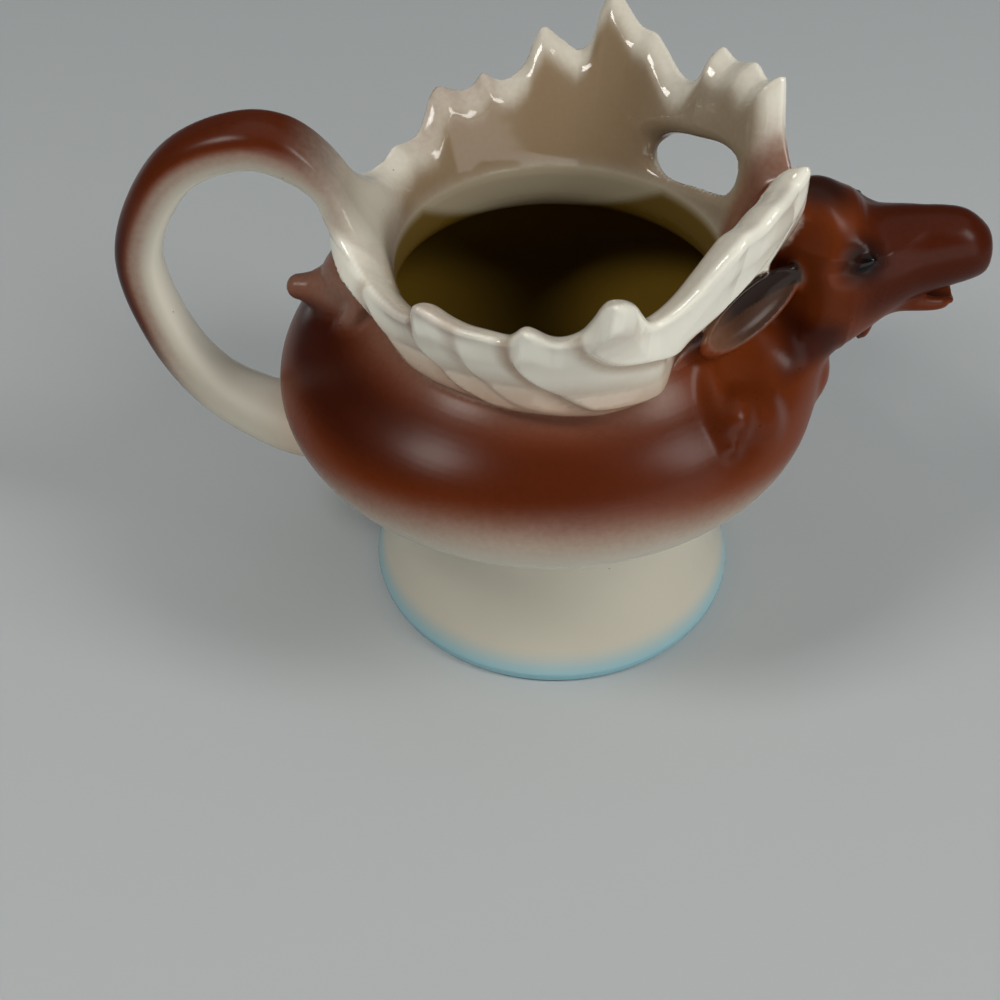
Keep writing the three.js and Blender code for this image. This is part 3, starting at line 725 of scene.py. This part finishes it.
forms = {
    "handle": handle_form(),
    "head": Loft(0, 2, behind_muzzle(HEAD_ROWS)),
    "neck": Loft(2, 0, [(ahead, 0, z, wide, deep) for z, ahead, wide, deep in NECK_ROWS]),
    "lower_jaw": Limb(behind_muzzle(JAW_STATIONS), per_span=FINE_SPANS),
    "poll_crest": Limb(crest, per_span=FINE_SPANS),
    "beard": Limb(behind_muzzle(BEARD_STATIONS)),
    "rear_tuft": Limb(REAR_STATIONS, per_span=FINE_SPANS),
    "eye": Egg(EYE_CENTRE, EYE_HALF, EYE_ALONG, EYE_OUT),
    "neck_lock": Limb(NECK_RIDGE, per_span=FINE_SPANS),
    "chest_lock": Egg(*CHEST_BULGE),
    "mane_lock": Limb(MANE_STATIONS, per_span=FINE_SPANS),
}
channel = Limb(NECK_CHANNEL + behind_muzzle(HEAD_CHANNEL), per_span=FINE_SPANS)

# Reach over which forms flow into each other
BLENDS = {
    "neck": 7, "head": 6, "lower_jaw": 1.6, "beard": 1.2, "poll_crest": 5, "neck_lock": 3,
    "chest_lock": 4.5, "rear_tuft": 6, "mane_lock": 3, "ear": 2, "eye": 0.5,
}
CROWN_BLEND = 7
JOIN_BLEND = 1.2
JOIN_BLEND_LOW = 2.0
BROW_BLEND = 4
TUFT_BLEND = 1.5
BULGE_BLEND = 1.5
SOCKET_ROUND = 3.0
EAR_ROUND = 0.8
FUNNEL_ROUND = 5
HOLLOW_ROUND = 1.2
RECESS_ROUND = 0.8
ROOM_LEAN = 0.2
PAIRED = ("antler", "ear", "eye", "neck_lock", "chest_lock", "mane_lock")


def field(points):
    """Distance to every section and to the whole jug, negative in the clay."""
    p = points.astype(float)
    right = p[:, 1] < 0
    p[:, 1] = np.abs(p[:, 1])
    radius = leaned_radius(p)
    z = p[:, 2]
    from_axis = np.hypot(p[:, 0], p[:, 1])
    d = {name: form(p) for name, form in forms.items()}
    d["body"] = body_chart(radius, z)
    d["antler"] = antler(p, right)
    funnel = (MOUTH_RADIUS + REAR_LEAN * (z - MOUTH_Z) - from_axis) / math.hypot(1, REAR_LEAN)
    d["handle"] = soft_max(d["handle"], funnel, FUNNEL_ROUND)
    at_ear = p + np.outer(~right, (0, 0, FAR_EAR_DROP))
    d["ear"] = soft_max(ear_leaf(at_ear), -ear_scoop(at_ear), EAR_ROUND)
    d["neck"] = soft_min(d["neck"], chest_tuft(p), TUFT_BLEND)
    d["neck_lock"] = soft_min(d["neck_lock"], neck_bulge(p), BULGE_BLEND)
    d["head"] = soft_min(d["head"], brow(p), BROW_BLEND)
    d["head"] = soft_max(d["head"], -socket(p), SOCKET_ROUND)

    beast = d["body"]
    for section, reach in BLENDS.items():
        beast = soft_min(beast, d[section], reach)
    crown = soft_min(d["antler"], d["handle"], CROWN_BLEND)
    whole = soft_min(beast, crown, JOIN_BLEND + JOIN_BLEND_LOW * ramp(z, SHOULDER_Z, BULB_Z))

    mouth = from_axis - MOUTH_RADIUS - ROOM_LEAN * np.maximum(z - MOUTH_Z, 0)
    mouth = np.maximum(mouth, MOUTH_Z - z)
    d["hollow"] = np.minimum.reduce([cavity_chart(radius, z), mouth, channel(p)])
    whole = soft_max(whole, -d["hollow"], HOLLOW_ROUND)
    whole = soft_max(whole, -recess_chart(radius, z), RECESS_ROUND)
    d["whole"] = np.maximum(whole, -z)
    return d


# Skinning

STEP = 0.65
COARSE = 4
BLOCK = 200000
SEAM = 0.2
HANDLE_YIELD = 0.6
COLLAR_BEVEL = 1.2
SKIN_COUNT = 10
AROUND = [offset for offset in np.ndindex(3, 3, 3) if offset != (1, 1, 1)]
MARGIN_STEPS = 3
NEAR_CELLS = 1.3
CROSSING_LIMITS = (0.02, 0.98)
SETTLE_TURNS = 2
EVEN_SHARE = 0.6
MOVE_SHARE = 0.6
LEAST_STEEP = 0.2
RELAX_ROUNDS = 6
COVER_SHARE = 0.5
SLOPE_SPREAD = 0.25
ORDER = (
    "eye", "body", "antler", "head", "neck", "lower_jaw", "handle", "poll_crest", "ear", "beard",
    "rear_tuft", "neck_lock", "chest_lock", "mane_lock",
)
BODY_PARTS = ("foot", "bowl", "rim_collar")


def piece_names():
    names = list(BODY_PARTS)
    for section in ORDER:
        if section in PAIRED:
            names += ["left_" + section, "right_" + section]
        elif section != "body":
            names.append(section)
    return names


NAMES = piece_names()


def in_blocks(points, work):
    return [work(points[i:i + BLOCK]) for i in range(0, len(points), BLOCK)]


def depth_at(points):
    """The whole field at any number of points."""
    return np.concatenate(in_blocks(points, lambda p: field(p)["whole"]))


def labels_of(p, d):
    """The piece, counted from 1, that holds each point in the clay: the first whose form reaches it."""
    stack = np.stack([d[section] for section in ORDER])
    held = stack < SEAM
    yielding = stack.copy()
    yielding[ORDER.index("handle")] += HANDLE_YIELD
    first = np.where(held.any(0), held.argmax(0), yielding.argmin(0))
    label = np.zeros(len(p), np.int8)
    for i, section in enumerate(ORDER):
        here = first == i
        if section == "body":
            x, y, z = p[here].T
            joint = SHOULDER_Z + COLLAR_BEVEL * np.maximum(np.hypot(x, y) - MOUTH_RADIUS, 0)
            label[here] = 1 + (z > WAIST_Z) + (z > joint)
        elif section in PAIRED:
            label[here] = 1 + NAMES.index("left_" + section) + (p[here, 1] < 0)
        else:
            label[here] = 1 + NAMES.index(section)
    return np.where(d["whole"] < 0, label, 0).astype(np.int8)


def sample_field():
    """The whole field and the labels on a grid, worked out only in and near the clay."""
    margin = MARGIN_STEPS * STEP
    low = np.array(cad_low) / MM - margin - (AXIS_X, 0, 0)
    high = np.array(cad_high) / MM + margin - (AXIS_X, 0, 0)
    cells = np.ceil((high - low) / (STEP * COARSE)).astype(int)
    low[1] = -cells[1] * STEP * COARSE / 2
    coarse = np.array(list(np.ndindex(*cells))) + 0.5
    rough = depth_at(low + coarse * STEP * COARSE)
    wanted = np.argwhere((rough < NEAR_CELLS * STEP * COARSE).reshape(cells))
    shape = cells * COARSE
    values = np.full(shape, FAR, np.float32)
    labels = np.zeros(shape, np.int8)
    offsets = np.array(list(np.ndindex(COARSE, COARSE, COARSE)))
    index = (wanted[:, None] * COARSE + offsets).reshape(-1, 3)
    points = low + (index + 0.5) * STEP

    def work(p):
        d = field(p)
        return d["whole"], labels_of(p, d)

    results = in_blocks(points, work)
    i, j, k = index.T
    values[i, j, k] = np.concatenate([r[0] for r in results])
    labels[i, j, k] = np.concatenate([r[1] for r in results])
    drop_skins(labels)
    return low + 0.5 * STEP, values, labels


def drop_skins(labels):
    """Give the thin skin of one piece over another to the piece below, except round the eyes."""
    air = labels == 0
    open_air = np.zeros_like(air)
    for axis in range(3):
        for step in (1, -1):
            open_air |= np.roll(air, step, axis)
    at = np.argwhere(open_air & ~air)
    own = labels[tuple(at.T)]
    around = np.stack([labels[tuple((at + offset).T - 1)] for offset in AROUND], 1)
    eyes = [1 + NAMES.index(name) for name in NAMES if name.endswith("eye")]
    thin = ((around == own[:, None]).sum(1) < SKIN_COUNT) & ~np.isin(own, eyes)
    counts = np.stack([(around[thin] == i + 1).sum(1) for i in range(len(NAMES))], 1)
    labels[tuple(at[thin].T)] = 1 + counts.argmax(1)


def corner(grid, offset):
    a, b, c = offset
    n = np.array(grid.shape) - 1
    return grid[a:a + n[0], b:b + n[1], c:c + n[2]]


CORNERS = list(np.ndindex(2, 2, 2))


def skin_vertices(low, values, labels):
    """One vertex in every cell of the grid that more than one label shares."""
    least = np.minimum.reduce([corner(labels, o) for o in CORNERS])
    most = np.maximum.reduce([corner(labels, o) for o in CORNERS])
    cells = np.argwhere(least != most)
    number = np.full(least.shape, -1, np.int32)
    number[tuple(cells.T)] = np.arange(len(cells))
    total = np.zeros((len(cells), 3))
    count = np.zeros(len(cells))
    for start in CORNERS:
        for axis in range(3):
            if start[axis]:
                continue
            end = list(start)
            end[axis] = 1
            a, b = cells + start, cells + end
            first, second = labels[tuple(a.T)], labels[tuple(b.T)]
            va, vb = values[tuple(a.T)], values[tuple(b.T)]
            outer = (first == 0) != (second == 0)
            share = np.where(outer, va / np.where(va == vb, 1, va - vb), 0.5)
            crossing = a.astype(float)
            crossing[:, axis] += np.clip(share, *CROSSING_LIMITS)
            crosses = first != second
            total += np.where(crosses[:, None], crossing, 0)
            count += crosses
    outside = least[tuple(cells.T)] == 0
    return low + total / count[:, None] * STEP, number, outside


def skin_faces(labels, number):
    """Quads round every grid edge whose ends differ, as (label, four vertices, opens outside)."""
    found = []
    for axis in range(3):
        other = [a for a in range(3) if a != axis]
        ahead = [slice(None)] * 3
        behind = [slice(None)] * 3
        ahead[axis] = slice(1, None)
        behind[axis] = slice(None, -1)
        start, end = labels[tuple(behind)], labels[tuple(ahead)]
        inner = np.argwhere(start != end)
        fits = np.ones(len(inner), bool)
        for a in other:
            fits &= (inner[:, a] > 0) & (inner[:, a] < labels.shape[a] - 1)
        inner = inner[fits]
        ring = []
        for u, v in ((-1, -1), (0, -1), (0, 0), (-1, 0)):
            cell = inner.copy()
            cell[:, other[0]] += u
            cell[:, other[1]] += v
            ring.append(number[tuple(cell.T)])
        quads = np.stack(ring, 1)
        if axis == 1:
            quads = quads[:, ::-1]
        first, second = start[tuple(inner.T)], end[tuple(inner.T)]
        found.append((first, quads, second == 0))
        found.append((second, quads[:, ::-1], first == 0))
    label = np.concatenate([f[0] for f in found])
    quads = np.concatenate([f[1] for f in found])
    opens = np.concatenate([f[2] for f in found])
    kept = label > 0
    return label[kept], quads[kept], opens[kept]


def slope_at(points):
    """The direction in which the whole field grows."""
    shifts = SLOPE_SPREAD * np.eye(3)
    parts = [depth_at(points + shift) - depth_at(points - shift) for shift in shifts]
    return np.stack(parts, 1) / (2 * SLOPE_SPREAD)


def neighbour_mean(points, quads):
    """The mean of the vertices joined to each vertex by the edges of the quads."""
    total = np.zeros_like(points)
    count = np.zeros(len(points))
    for i in range(4):
        a, b = quads[:, i], quads[:, (i + 1) % 4]
        for here, there in ((a, b), (b, a)):
            np.add.at(total, here, points[there])
            np.add.at(count, here, 1)
    return total / np.maximum(count, 1)[:, None]


def settle(points, quads, outside):
    """Move the outer vertices onto the surface, evenly spread, and return its normals there."""
    shell = points[outside]
    for turn in range(SETTLE_TURNS):
        slope = slope_at(shell)
        steep = np.maximum((slope * slope).sum(1), LEAST_STEEP)
        move = -depth_at(shell)[:, None] * slope / steep[:, None]
        length = np.linalg.norm(move, axis=1, keepdims=True)
        shell = shell + move * np.minimum(1, MOVE_SHARE * STEP / np.maximum(length, TINY))
        points[outside] = shell
        if turn < SETTLE_TURNS - 1:
            normal = unit(slope)
            shift = neighbour_mean(points, quads)[outside] - shell
            shell = shell + EVEN_SHARE * (shift - (shift * normal).sum(1, keepdims=True) * normal)
    normals = np.zeros_like(points)
    normals[outside] = unit(slope_at(shell))
    return normals


def relax_inside(points, quads, outside):
    """Smooth the hidden faces between pieces, where that leaves them well inside the clay."""
    moved = np.where(~outside)[0]
    start = points[moved]
    for _ in range(RELAX_ROUNDS):
        points[moved] = neighbour_mean(points, quads)[moved]
    shallow = depth_at(points[moved]) > -COVER_SHARE * STEP
    points[moved[shallow]] = start[shallow]


# Painting, sprayed glaze and painted shade and shadow alike: where an edge begins, where it is full, and
# how much lies there if not all of it. In millimetres, degrees from the head, or the share in which a
# surface faces some way
EDGES = {
    "beast_ahead": (36, 42), "beast_up": (46, 58), "crown": (-0.4, 0.6), "loop": (-2.5, 1.5),
    "inside_depth": (1.0, 0.5), "inside_top": (0.4, -0.2), "inside_floor": (-2, -1),
    "inside_front": (60, 54), "deep": (-0.6, 2.2), "interior_shadow_front": (36, 40),
    "brown": (-8, 7), "pale_up": (67.5, 73, 0.15), "pale_side": (50, 60),
    "loop_facing": (-0.3, 0.6), "loop_back": (-34, -50), "loop_up": (40, 66),
    "rear_tip": (3.5, 0.5, 0.3), "rear_start": (100, 118), "rear_end": (150, 135),
    "girdle_low": (56, 63.5), "girdle_high": (71.5, 66.5), "girdle_rear": (110, 150, 0.35),
    "girdle_front": (25, 50), "muzzle_ahead": (48, 58), "muzzle_up": (70, 79, 0.8),
    "throat_start": (38, 44, 0.85), "throat_end": (56, 50), "throat_high": (78, 72), "throat_low": (62, 68),
    "spine_facing": (0.2, 0.8), "spine_low": (92, 78, 0.35),
    "ear_width": (-0.5, 1), "ear_skin": (0.9, 0.3), "ear_scoop": (0.5, -0.2), "ear_length": (2, 11, 0.6),
    "eye": (0.25, 0), "within": (-0.2, 0.3), "fold_rise": (-0.6, 0.4), "fold_fall": (3.4, 0.4),
    "tan_up": (-4, 3), "tan_tip": (5, 0.5, 0.6), "tan_side": (45, 70, 0.2),
    "below": (-0.8, 0.3), "band_shade_end": (57, 51), "band_shade_facing": (-0.3, -0.7),
    "root_brown": (19, 12, 0.7), "hem_shadow_brown": (-2, -6, 0.5), "blush_and_shade_up": (5, -5, 0.75),
    "root_blush": (20, 10, 0.5), "loop_blush_down": (66, 46, 0.6), "loop_blush_back": (-62, -46),
    "white_tip": (7, 1.5), "white_up": (-3, 6), "loop_white": (-0.2, -0.7, 0.6),
    "blue_up": (8, 1), "blue_out": (28, 31),
}
BROWN_Z = 45
BROWN_WAVE = 11
BROWN_POWER = 1.5
# Depth of the lit band painted inside the mouth, above the painted shadow
LIGHT_DEPTH = 0.9
LIGHT_DEGREES = 100
LIGHT_START = 20
GIRDLE_LEAST = 0.55
GIRDLE_FRONT = 0.3
SPINE_LEAST = 0.6
EAR_SHADE = 0.93
EAR_BROWN = 0.35
EAR_TAN = 0.9
TAN_LEAST = 0.7
FOLD_SHADE_TAN = 0.5
FOLD_SHADE_BLUSH = 0.4
# Shares of brown and black in the painted shade under the antler band
BAND_SHADE_BROWN = 0.95
BAND_SHADE_BLACK = 0.45
SMUDGE_SHARE = 0.85
SMUDGE_CORE = 0.25
EYE_SMUDGE = (0.8, 0, 1)
EYE_SMUDGE_REACH = 6.5
POLL = np.array([46.5, 0, 95])
POLL_REACH = 9
LOOP_CENTRE = np.array([-57.0, 0, 72.0])


def fade(value, edge):
    start, full, *share = EDGES[edge]
    return ramp(value, start, full) * (share[0] if share else 1)


def smudge(p, centre, reach):
    """Full near a centre, down to none at a distance."""
    return SMUDGE_SHARE * ramp(np.linalg.norm(p - centre, axis=1), reach, SMUDGE_CORE * reach)


def paint(p, n):
    """How much of each glaze, and of the painted shade and shadow, lies at every point."""
    d = field(p)
    q = p * (1, 0, 1) + np.abs(p) * (0, 1, 0)
    x, side, z = q.T
    rise = z - MOUTH_Z
    radius = np.maximum(np.hypot(x, side), 1)
    degrees = np.degrees(np.arctan2(side, x))
    tip = np.where(p[:, 1] < 0, by_degrees(RIGHT_EDGE, degrees), by_degrees(LEFT_EDGE, degrees)) - rise
    rest = np.minimum.reduce([d[s] for s in ORDER if s not in ("antler", "handle")])
    loop = fade(np.minimum(rest, d["antler"]) - d["handle"], "loop")
    crown = fade(rest - d["antler"], "crown") * (1 - loop)
    bare = (1 - crown) * (1 - loop)
    beast = fade(x, "beast_ahead") * fade(z, "beast_up") * bare

    inside = fade(d["hollow"], "inside_depth") * fade(rise, "inside_top")
    inside *= fade(z - FLOOR_Z, "inside_floor") * fade(x, "inside_front")
    # Painted shadow inside: below a line that dips furthest under the mouth on the far wall, and all along
    # the neck's channel, the interior is painted dark as shadow (deep); lit is how far the painted light
    # reaches below the mouth
    lit = MOUTH_RADIUS * np.cos(np.radians(degrees - LIGHT_DEGREES)) - LIGHT_START
    lit = LIGHT_DEPTH * np.maximum(lit, 0)
    deep = inside * most(fade(-rise - lit, "deep"), fade(x, "interior_shadow_front"))

    half = BROWN_Z + BROWN_WAVE * (side / radius) ** BROWN_POWER
    brown = most(fade(z - half, "brown"), beast) * bare
    brown *= 1 - fade(z, "pale_up") * fade(degrees, "pale_side")
    loop_face = (n * unit(p - LOOP_CENTRE)).sum(1)
    loop_brown = loop * fade(loop_face, "loop_facing") * fade(x, "loop_back") * fade(z, "loop_up")
    # Brown on the rear tips of the antlers, partly painted shade
    rear = crown * fade(tip, "rear_tip") * fade(degrees, "rear_start") * fade(degrees, "rear_end")
    brown = most(brown, loop_brown, rear) * (1 - inside)

    girdle = fade(z, "girdle_low") * fade(z, "girdle_high")
    girdle *= GIRDLE_LEAST + fade(degrees, "girdle_rear")
    girdle *= lerp(GIRDLE_FRONT, 1, fade(degrees, "girdle_front"))
    muzzle = fade(x, "muzzle_ahead") * fade(z, "muzzle_up")
    # A dark patch on the throat under the head and jaw, partly painted shade
    throat = fade(x, "throat_start") * fade(x, "throat_end")
    throat *= fade(z, "throat_high") * fade(z, "throat_low")
    spine = loop_brown * fade(loop_face, "spine_facing") * (SPINE_LEAST + fade(z, "spine_low"))
    dark = most(most(girdle, muzzle, throat) * bare, spine) * (1 - inside)

    # Painted shadow of the antler band in the ear's hollow and on the strip above it: black, darkest next
    # to the band, over a tan base
    on_ear = (q - EAR_CENTRE) @ np.stack([unit(EAR_LENGTH), unit(EAR_WIDTH)], 1)
    ear_top = fade(on_ear[:, 1], "ear_width") * fade(d["ear"], "ear_skin")
    ear_in = most(fade(ear_scoop(q), "ear_scoop"), ear_top) * bare
    shade = ear_in * (EAR_SHADE - fade(on_ear[:, 0], "ear_length"))
    eye = most(fade(d["eye"], "eye"), smudge(q, EYE_CENTRE + EYE_SMUDGE, EYE_SMUDGE_REACH)) * beast
    black = most(eye, smudge(q, POLL, POLL_REACH) * bare, shade)
    brown *= 1 - EAR_BROWN * ear_in

    faces_in = -(n * p * (1, 1, 0)).sum(1) / radius
    within = crown * fade(faces_in, "within")
    outer = crown - within
    # Painted shade in the folds just outside each petal's edge, laid on as tan and blush
    fold_shade = np.zeros(len(p))
    for chart, share in zip(petal_charts, PETAL_SHARES):
        depth = chart(degrees * ARC, rise)
        fold_shade = most(fold_shade, share * fade(depth, "fold_rise") * fade(depth, "fold_fall"))
    # A tan wash on the antlers' inner faces, partly painted shade, thinning out near the edge
    tan = within * fade(rise, "tan_up") * (1 - fade(tip, "tan_tip"))
    tan *= TAN_LEAST + fade(degrees, "tan_side")
    tan = most(tan, FOLD_SHADE_TAN * outer * fold_shade, EAR_TAN * ear_in)
    # Painted shade under the rolled band of the front palms, where it overhangs: brown with some black
    below = fade(petal_charts[BAND](degrees * ARC, rise), "below") * fade(degrees, "band_shade_end")
    below *= crown * fade(faces_in, "band_shade_facing")
    brown = most(brown, BAND_SHADE_BROWN * below, crown * fade(degrees, "root_brown"))
    # Brown at the foot of the antlers' outer face, partly painted shadow under the skirt
    brown = most(brown, outer * fade(rise, "hem_shadow_brown"))
    black = most(black, BAND_SHADE_BLACK * below)

    # The outer face is pinker low down, partly as painted shade, and whiter higher up
    blush = outer * most(fade(rise, "blush_and_shade_up"), FOLD_SHADE_BLUSH * fold_shade)
    loop_blush = loop * fade(z, "loop_blush_down") * fade(x, "loop_blush_back")
    blush = most(blush, crown * fade(degrees, "root_blush"), loop_blush)
    white_out = outer / np.maximum(crown, TINY) * fade(rise, "white_up")
    white = crown * most(fade(tip, "white_tip"), white_out)
    white = most(white, loop * fade(loop_face, "loop_white"))

    blue = fade(z, "blue_up") * fade(radius, "blue_out")
    return {
        "white": white, "tan": tan, "blush": blush, "blue": blue, "inside": inside, "deep": deep,
        "brown": brown, "dark": dark, "black": black,
    }


CREAM = (0.62, 0.58, 0.48)
GLAZES_AND_SHADE = [
    ("white", (0.95, 0.92, 0.8)),
    ("tan", (0.28, 0.18, 0.09)),
    ("blush", (0.5, 0.31, 0.21)),
    ("blue", (0.26, 0.5, 0.58)),
    ("inside", (0.5, 0.43, 0.3)),
    ("brown", (0.17, 0.032, 0.006)),
    ("dark", (0.035, 0.004, 0.001)),
    ("black", (0.006, 0.004, 0.004)),
    # deep: painted shadow inside the jug and its neck
    ("deep", (0.17, 0.1, 0.008)),
]
SHINE = {
    "glaze_chestnut": 0.15, "glaze_dark_brown": 0.13, "glaze_foot": 0.3, "glaze_cream": 0.18,
    "glaze_ivory": 0.5, "glaze_black": 0.2,
}
GLOSSY = 0.09
SATIN = 0.28
MATT = 0.9
GLASS_IOR = 1.5
NOISE_MEAN = 0.5
COLOUR_SOCKETS = (6, 7)
CLOUD_SCALE = 55.0
CLOUD_DETAIL = 4.0
CLOUD_SPRAY = 0.22
CLOUD_ROUGH = 0.05
GRAIN_SCALE = 900.0
GRAIN_DETAIL = 2.0
GRAIN_SPRAY = 0.16
GRAINED = ("brown", "dark", "blush", "tan")
EDGE_GAIN = 4.0
LENS_GAIN = 7.0
SPECK_SCALE = 160.0
SPECK_SIZE = 0.03
SPECK_SHARE = 0.5
SPECK_COLOUR = (0.05, 0.03, 0.02)
RIPPLE_SCALE = 220.0
RIPPLE_DETAIL = 3.0
RIPPLE_STRENGTH = 0.05
RIPPLE_DEPTH = 0.0004


def glaze_material(name):
    material = bpy.data.materials.new(name)
    material.use_nodes = True
    tree = material.node_tree
    link = tree.links.new
    shader = tree.nodes["Principled BSDF"]
    shader.inputs["IOR"].default_value = GLASS_IOR
    shader.inputs["Specular IOR Level"].default_value = SHINE[name]
    place = tree.nodes.new("ShaderNodeTexCoord").outputs["Object"]

    def noise(scale, detail):
        node = tree.nodes.new("ShaderNodeTexNoise")
        node.inputs["Scale"].default_value = scale
        node.inputs["Detail"].default_value = detail
        link(place, node.inputs["Vector"])
        return node.outputs["Fac"]

    def math_node(kind, *values):
        node = tree.nodes.new("ShaderNodeMath")
        node.operation = kind
        node.use_clamp = kind == "MULTIPLY_ADD"
        for socket, value in zip(node.inputs, values):
            if isinstance(value, (int, float)):
                socket.default_value = value
            else:
                link(value, socket)
        return node.outputs[0]

    def mix(factor, first, second):
        node = tree.nodes.new("ShaderNodeMix")
        node.data_type = "RGBA"
        link(factor, node.inputs[0])
        for index, value in zip(COLOUR_SOCKETS, (first, second)):
            socket = node.inputs[index]
            if isinstance(value, tuple):
                socket.default_value = (*value, 1)
            else:
                link(value, socket)
        return node.outputs[2]

    def mask(name):
        node = tree.nodes.new("ShaderNodeAttribute")
        node.attribute_name = name
        return node.outputs["Fac"]

    cloud = math_node("SUBTRACT", noise(CLOUD_SCALE, CLOUD_DETAIL), NOISE_MEAN)
    grain = math_node("SUBTRACT", noise(GRAIN_SCALE, GRAIN_DETAIL), NOISE_MEAN)
    colour = None
    for glaze, tint in GLAZES_AND_SHADE:
        coverage = mask(glaze)
        if glaze in GRAINED:
            spray = math_node("MULTIPLY_ADD", cloud, CLOUD_SPRAY, coverage)
            spray = math_node("MULTIPLY_ADD", grain, GRAIN_SPRAY, spray)
            edge = math_node("MULTIPLY", coverage, math_node("SUBTRACT", 1.0, coverage))
            edge = math_node("MULTIPLY", edge, EDGE_GAIN)
            change = math_node("SUBTRACT", spray, coverage)
            coverage = math_node("MULTIPLY_ADD", change, edge, coverage)
        if glaze == "brown":
            satin = coverage
        if glaze == "black":
            lens = math_node("MULTIPLY_ADD", coverage, LENS_GAIN, 1 - LENS_GAIN)
            satin = math_node("MULTIPLY", satin, math_node("SUBTRACT", 1.0, lens))
        # the painted interior shadow is also made matt
        if glaze == "deep":
            matt = coverage
        colour = mix(coverage, colour if colour is not None else CREAM, tint)
    speck = tree.nodes.new("ShaderNodeTexVoronoi")
    speck.inputs["Scale"].default_value = SPECK_SCALE
    link(place, speck.inputs["Vector"])
    pin = math_node("LESS_THAN", speck.outputs["Distance"], SPECK_SIZE)
    colour = mix(math_node("MULTIPLY", pin, SPECK_SHARE), colour, SPECK_COLOUR)
    link(colour, shader.inputs["Base Color"])
    rough = math_node("MULTIPLY_ADD", satin, SATIN - GLOSSY, GLOSSY)
    rough = math_node("MULTIPLY_ADD", matt, MATT - GLOSSY, rough)
    rough = math_node("MULTIPLY_ADD", cloud, CLOUD_ROUGH, rough)
    link(rough, shader.inputs["Roughness"])
    bump = tree.nodes.new("ShaderNodeBump")
    bump.inputs["Strength"].default_value = RIPPLE_STRENGTH
    bump.inputs["Distance"].default_value = RIPPLE_DEPTH
    link(noise(RIPPLE_SCALE, RIPPLE_DETAIL), bump.inputs["Height"])
    link(bump.outputs["Normal"], shader.inputs["Normal"])
    return material


def make_pieces():
    low, values, labels = sample_field()
    points, number, outside = skin_vertices(low, values, labels)
    label, quads, opens = skin_faces(labels, number)
    relax_inside(points, quads, outside)
    normals = settle(points, quads[opens], outside)
    masks = {}
    painted = in_blocks(np.where(outside)[0], lambda ids: paint(points[ids], normals[ids]))
    for glaze, _ in GLAZES_AND_SHADE:
        value = np.zeros(len(points), np.float32)
        value[outside] = np.concatenate([part[glaze] for part in painted])
        masks[glaze] = value
    slots = {part["node"]: part["material_slot"] for part in frame["record"]["subparts"]}
    materials = {slot: glaze_material(slot) for slot in sorted(set(slots.values()))}
    for i, name in enumerate(NAMES):
        here = label == i + 1
        used, faces = np.unique(quads[here], return_inverse=True)
        faces = faces.reshape(-1, 4)
        mesh = bpy.data.meshes.new(name + "_glazed")
        mesh.from_pydata(((points[used] + (AXIS_X, 0, 0)) * MM).tolist(), [], faces.tolist())
        mesh.polygons.foreach_set("use_smooth", np.ones(len(faces), bool))
        flat = np.zeros(len(faces) * 3, np.float32)
        mesh.polygons.foreach_get("normal", flat)
        loops = np.repeat(flat.reshape(-1, 3), 4, axis=0)
        smooth = np.repeat(opens[here], 4)
        loops[smooth] = normals[used][faces.ravel()][smooth]
        mesh.normals_split_custom_set(loops.tolist())
        for glaze, value in masks.items():
            layer = mesh.attributes.new(glaze, "FLOAT", "POINT")
            layer.data.foreach_set("value", np.clip(value[used], 0, 1).astype(np.float32))
        mesh.materials.append(materials[slots[name]])
        piece = bpy.data.objects.new(name + "_glazed", mesh)
        bpy.context.scene.collection.objects.link(piece)
        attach(piece, "root")
        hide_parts(name)


make_camera()
make_stage()
make_pieces()
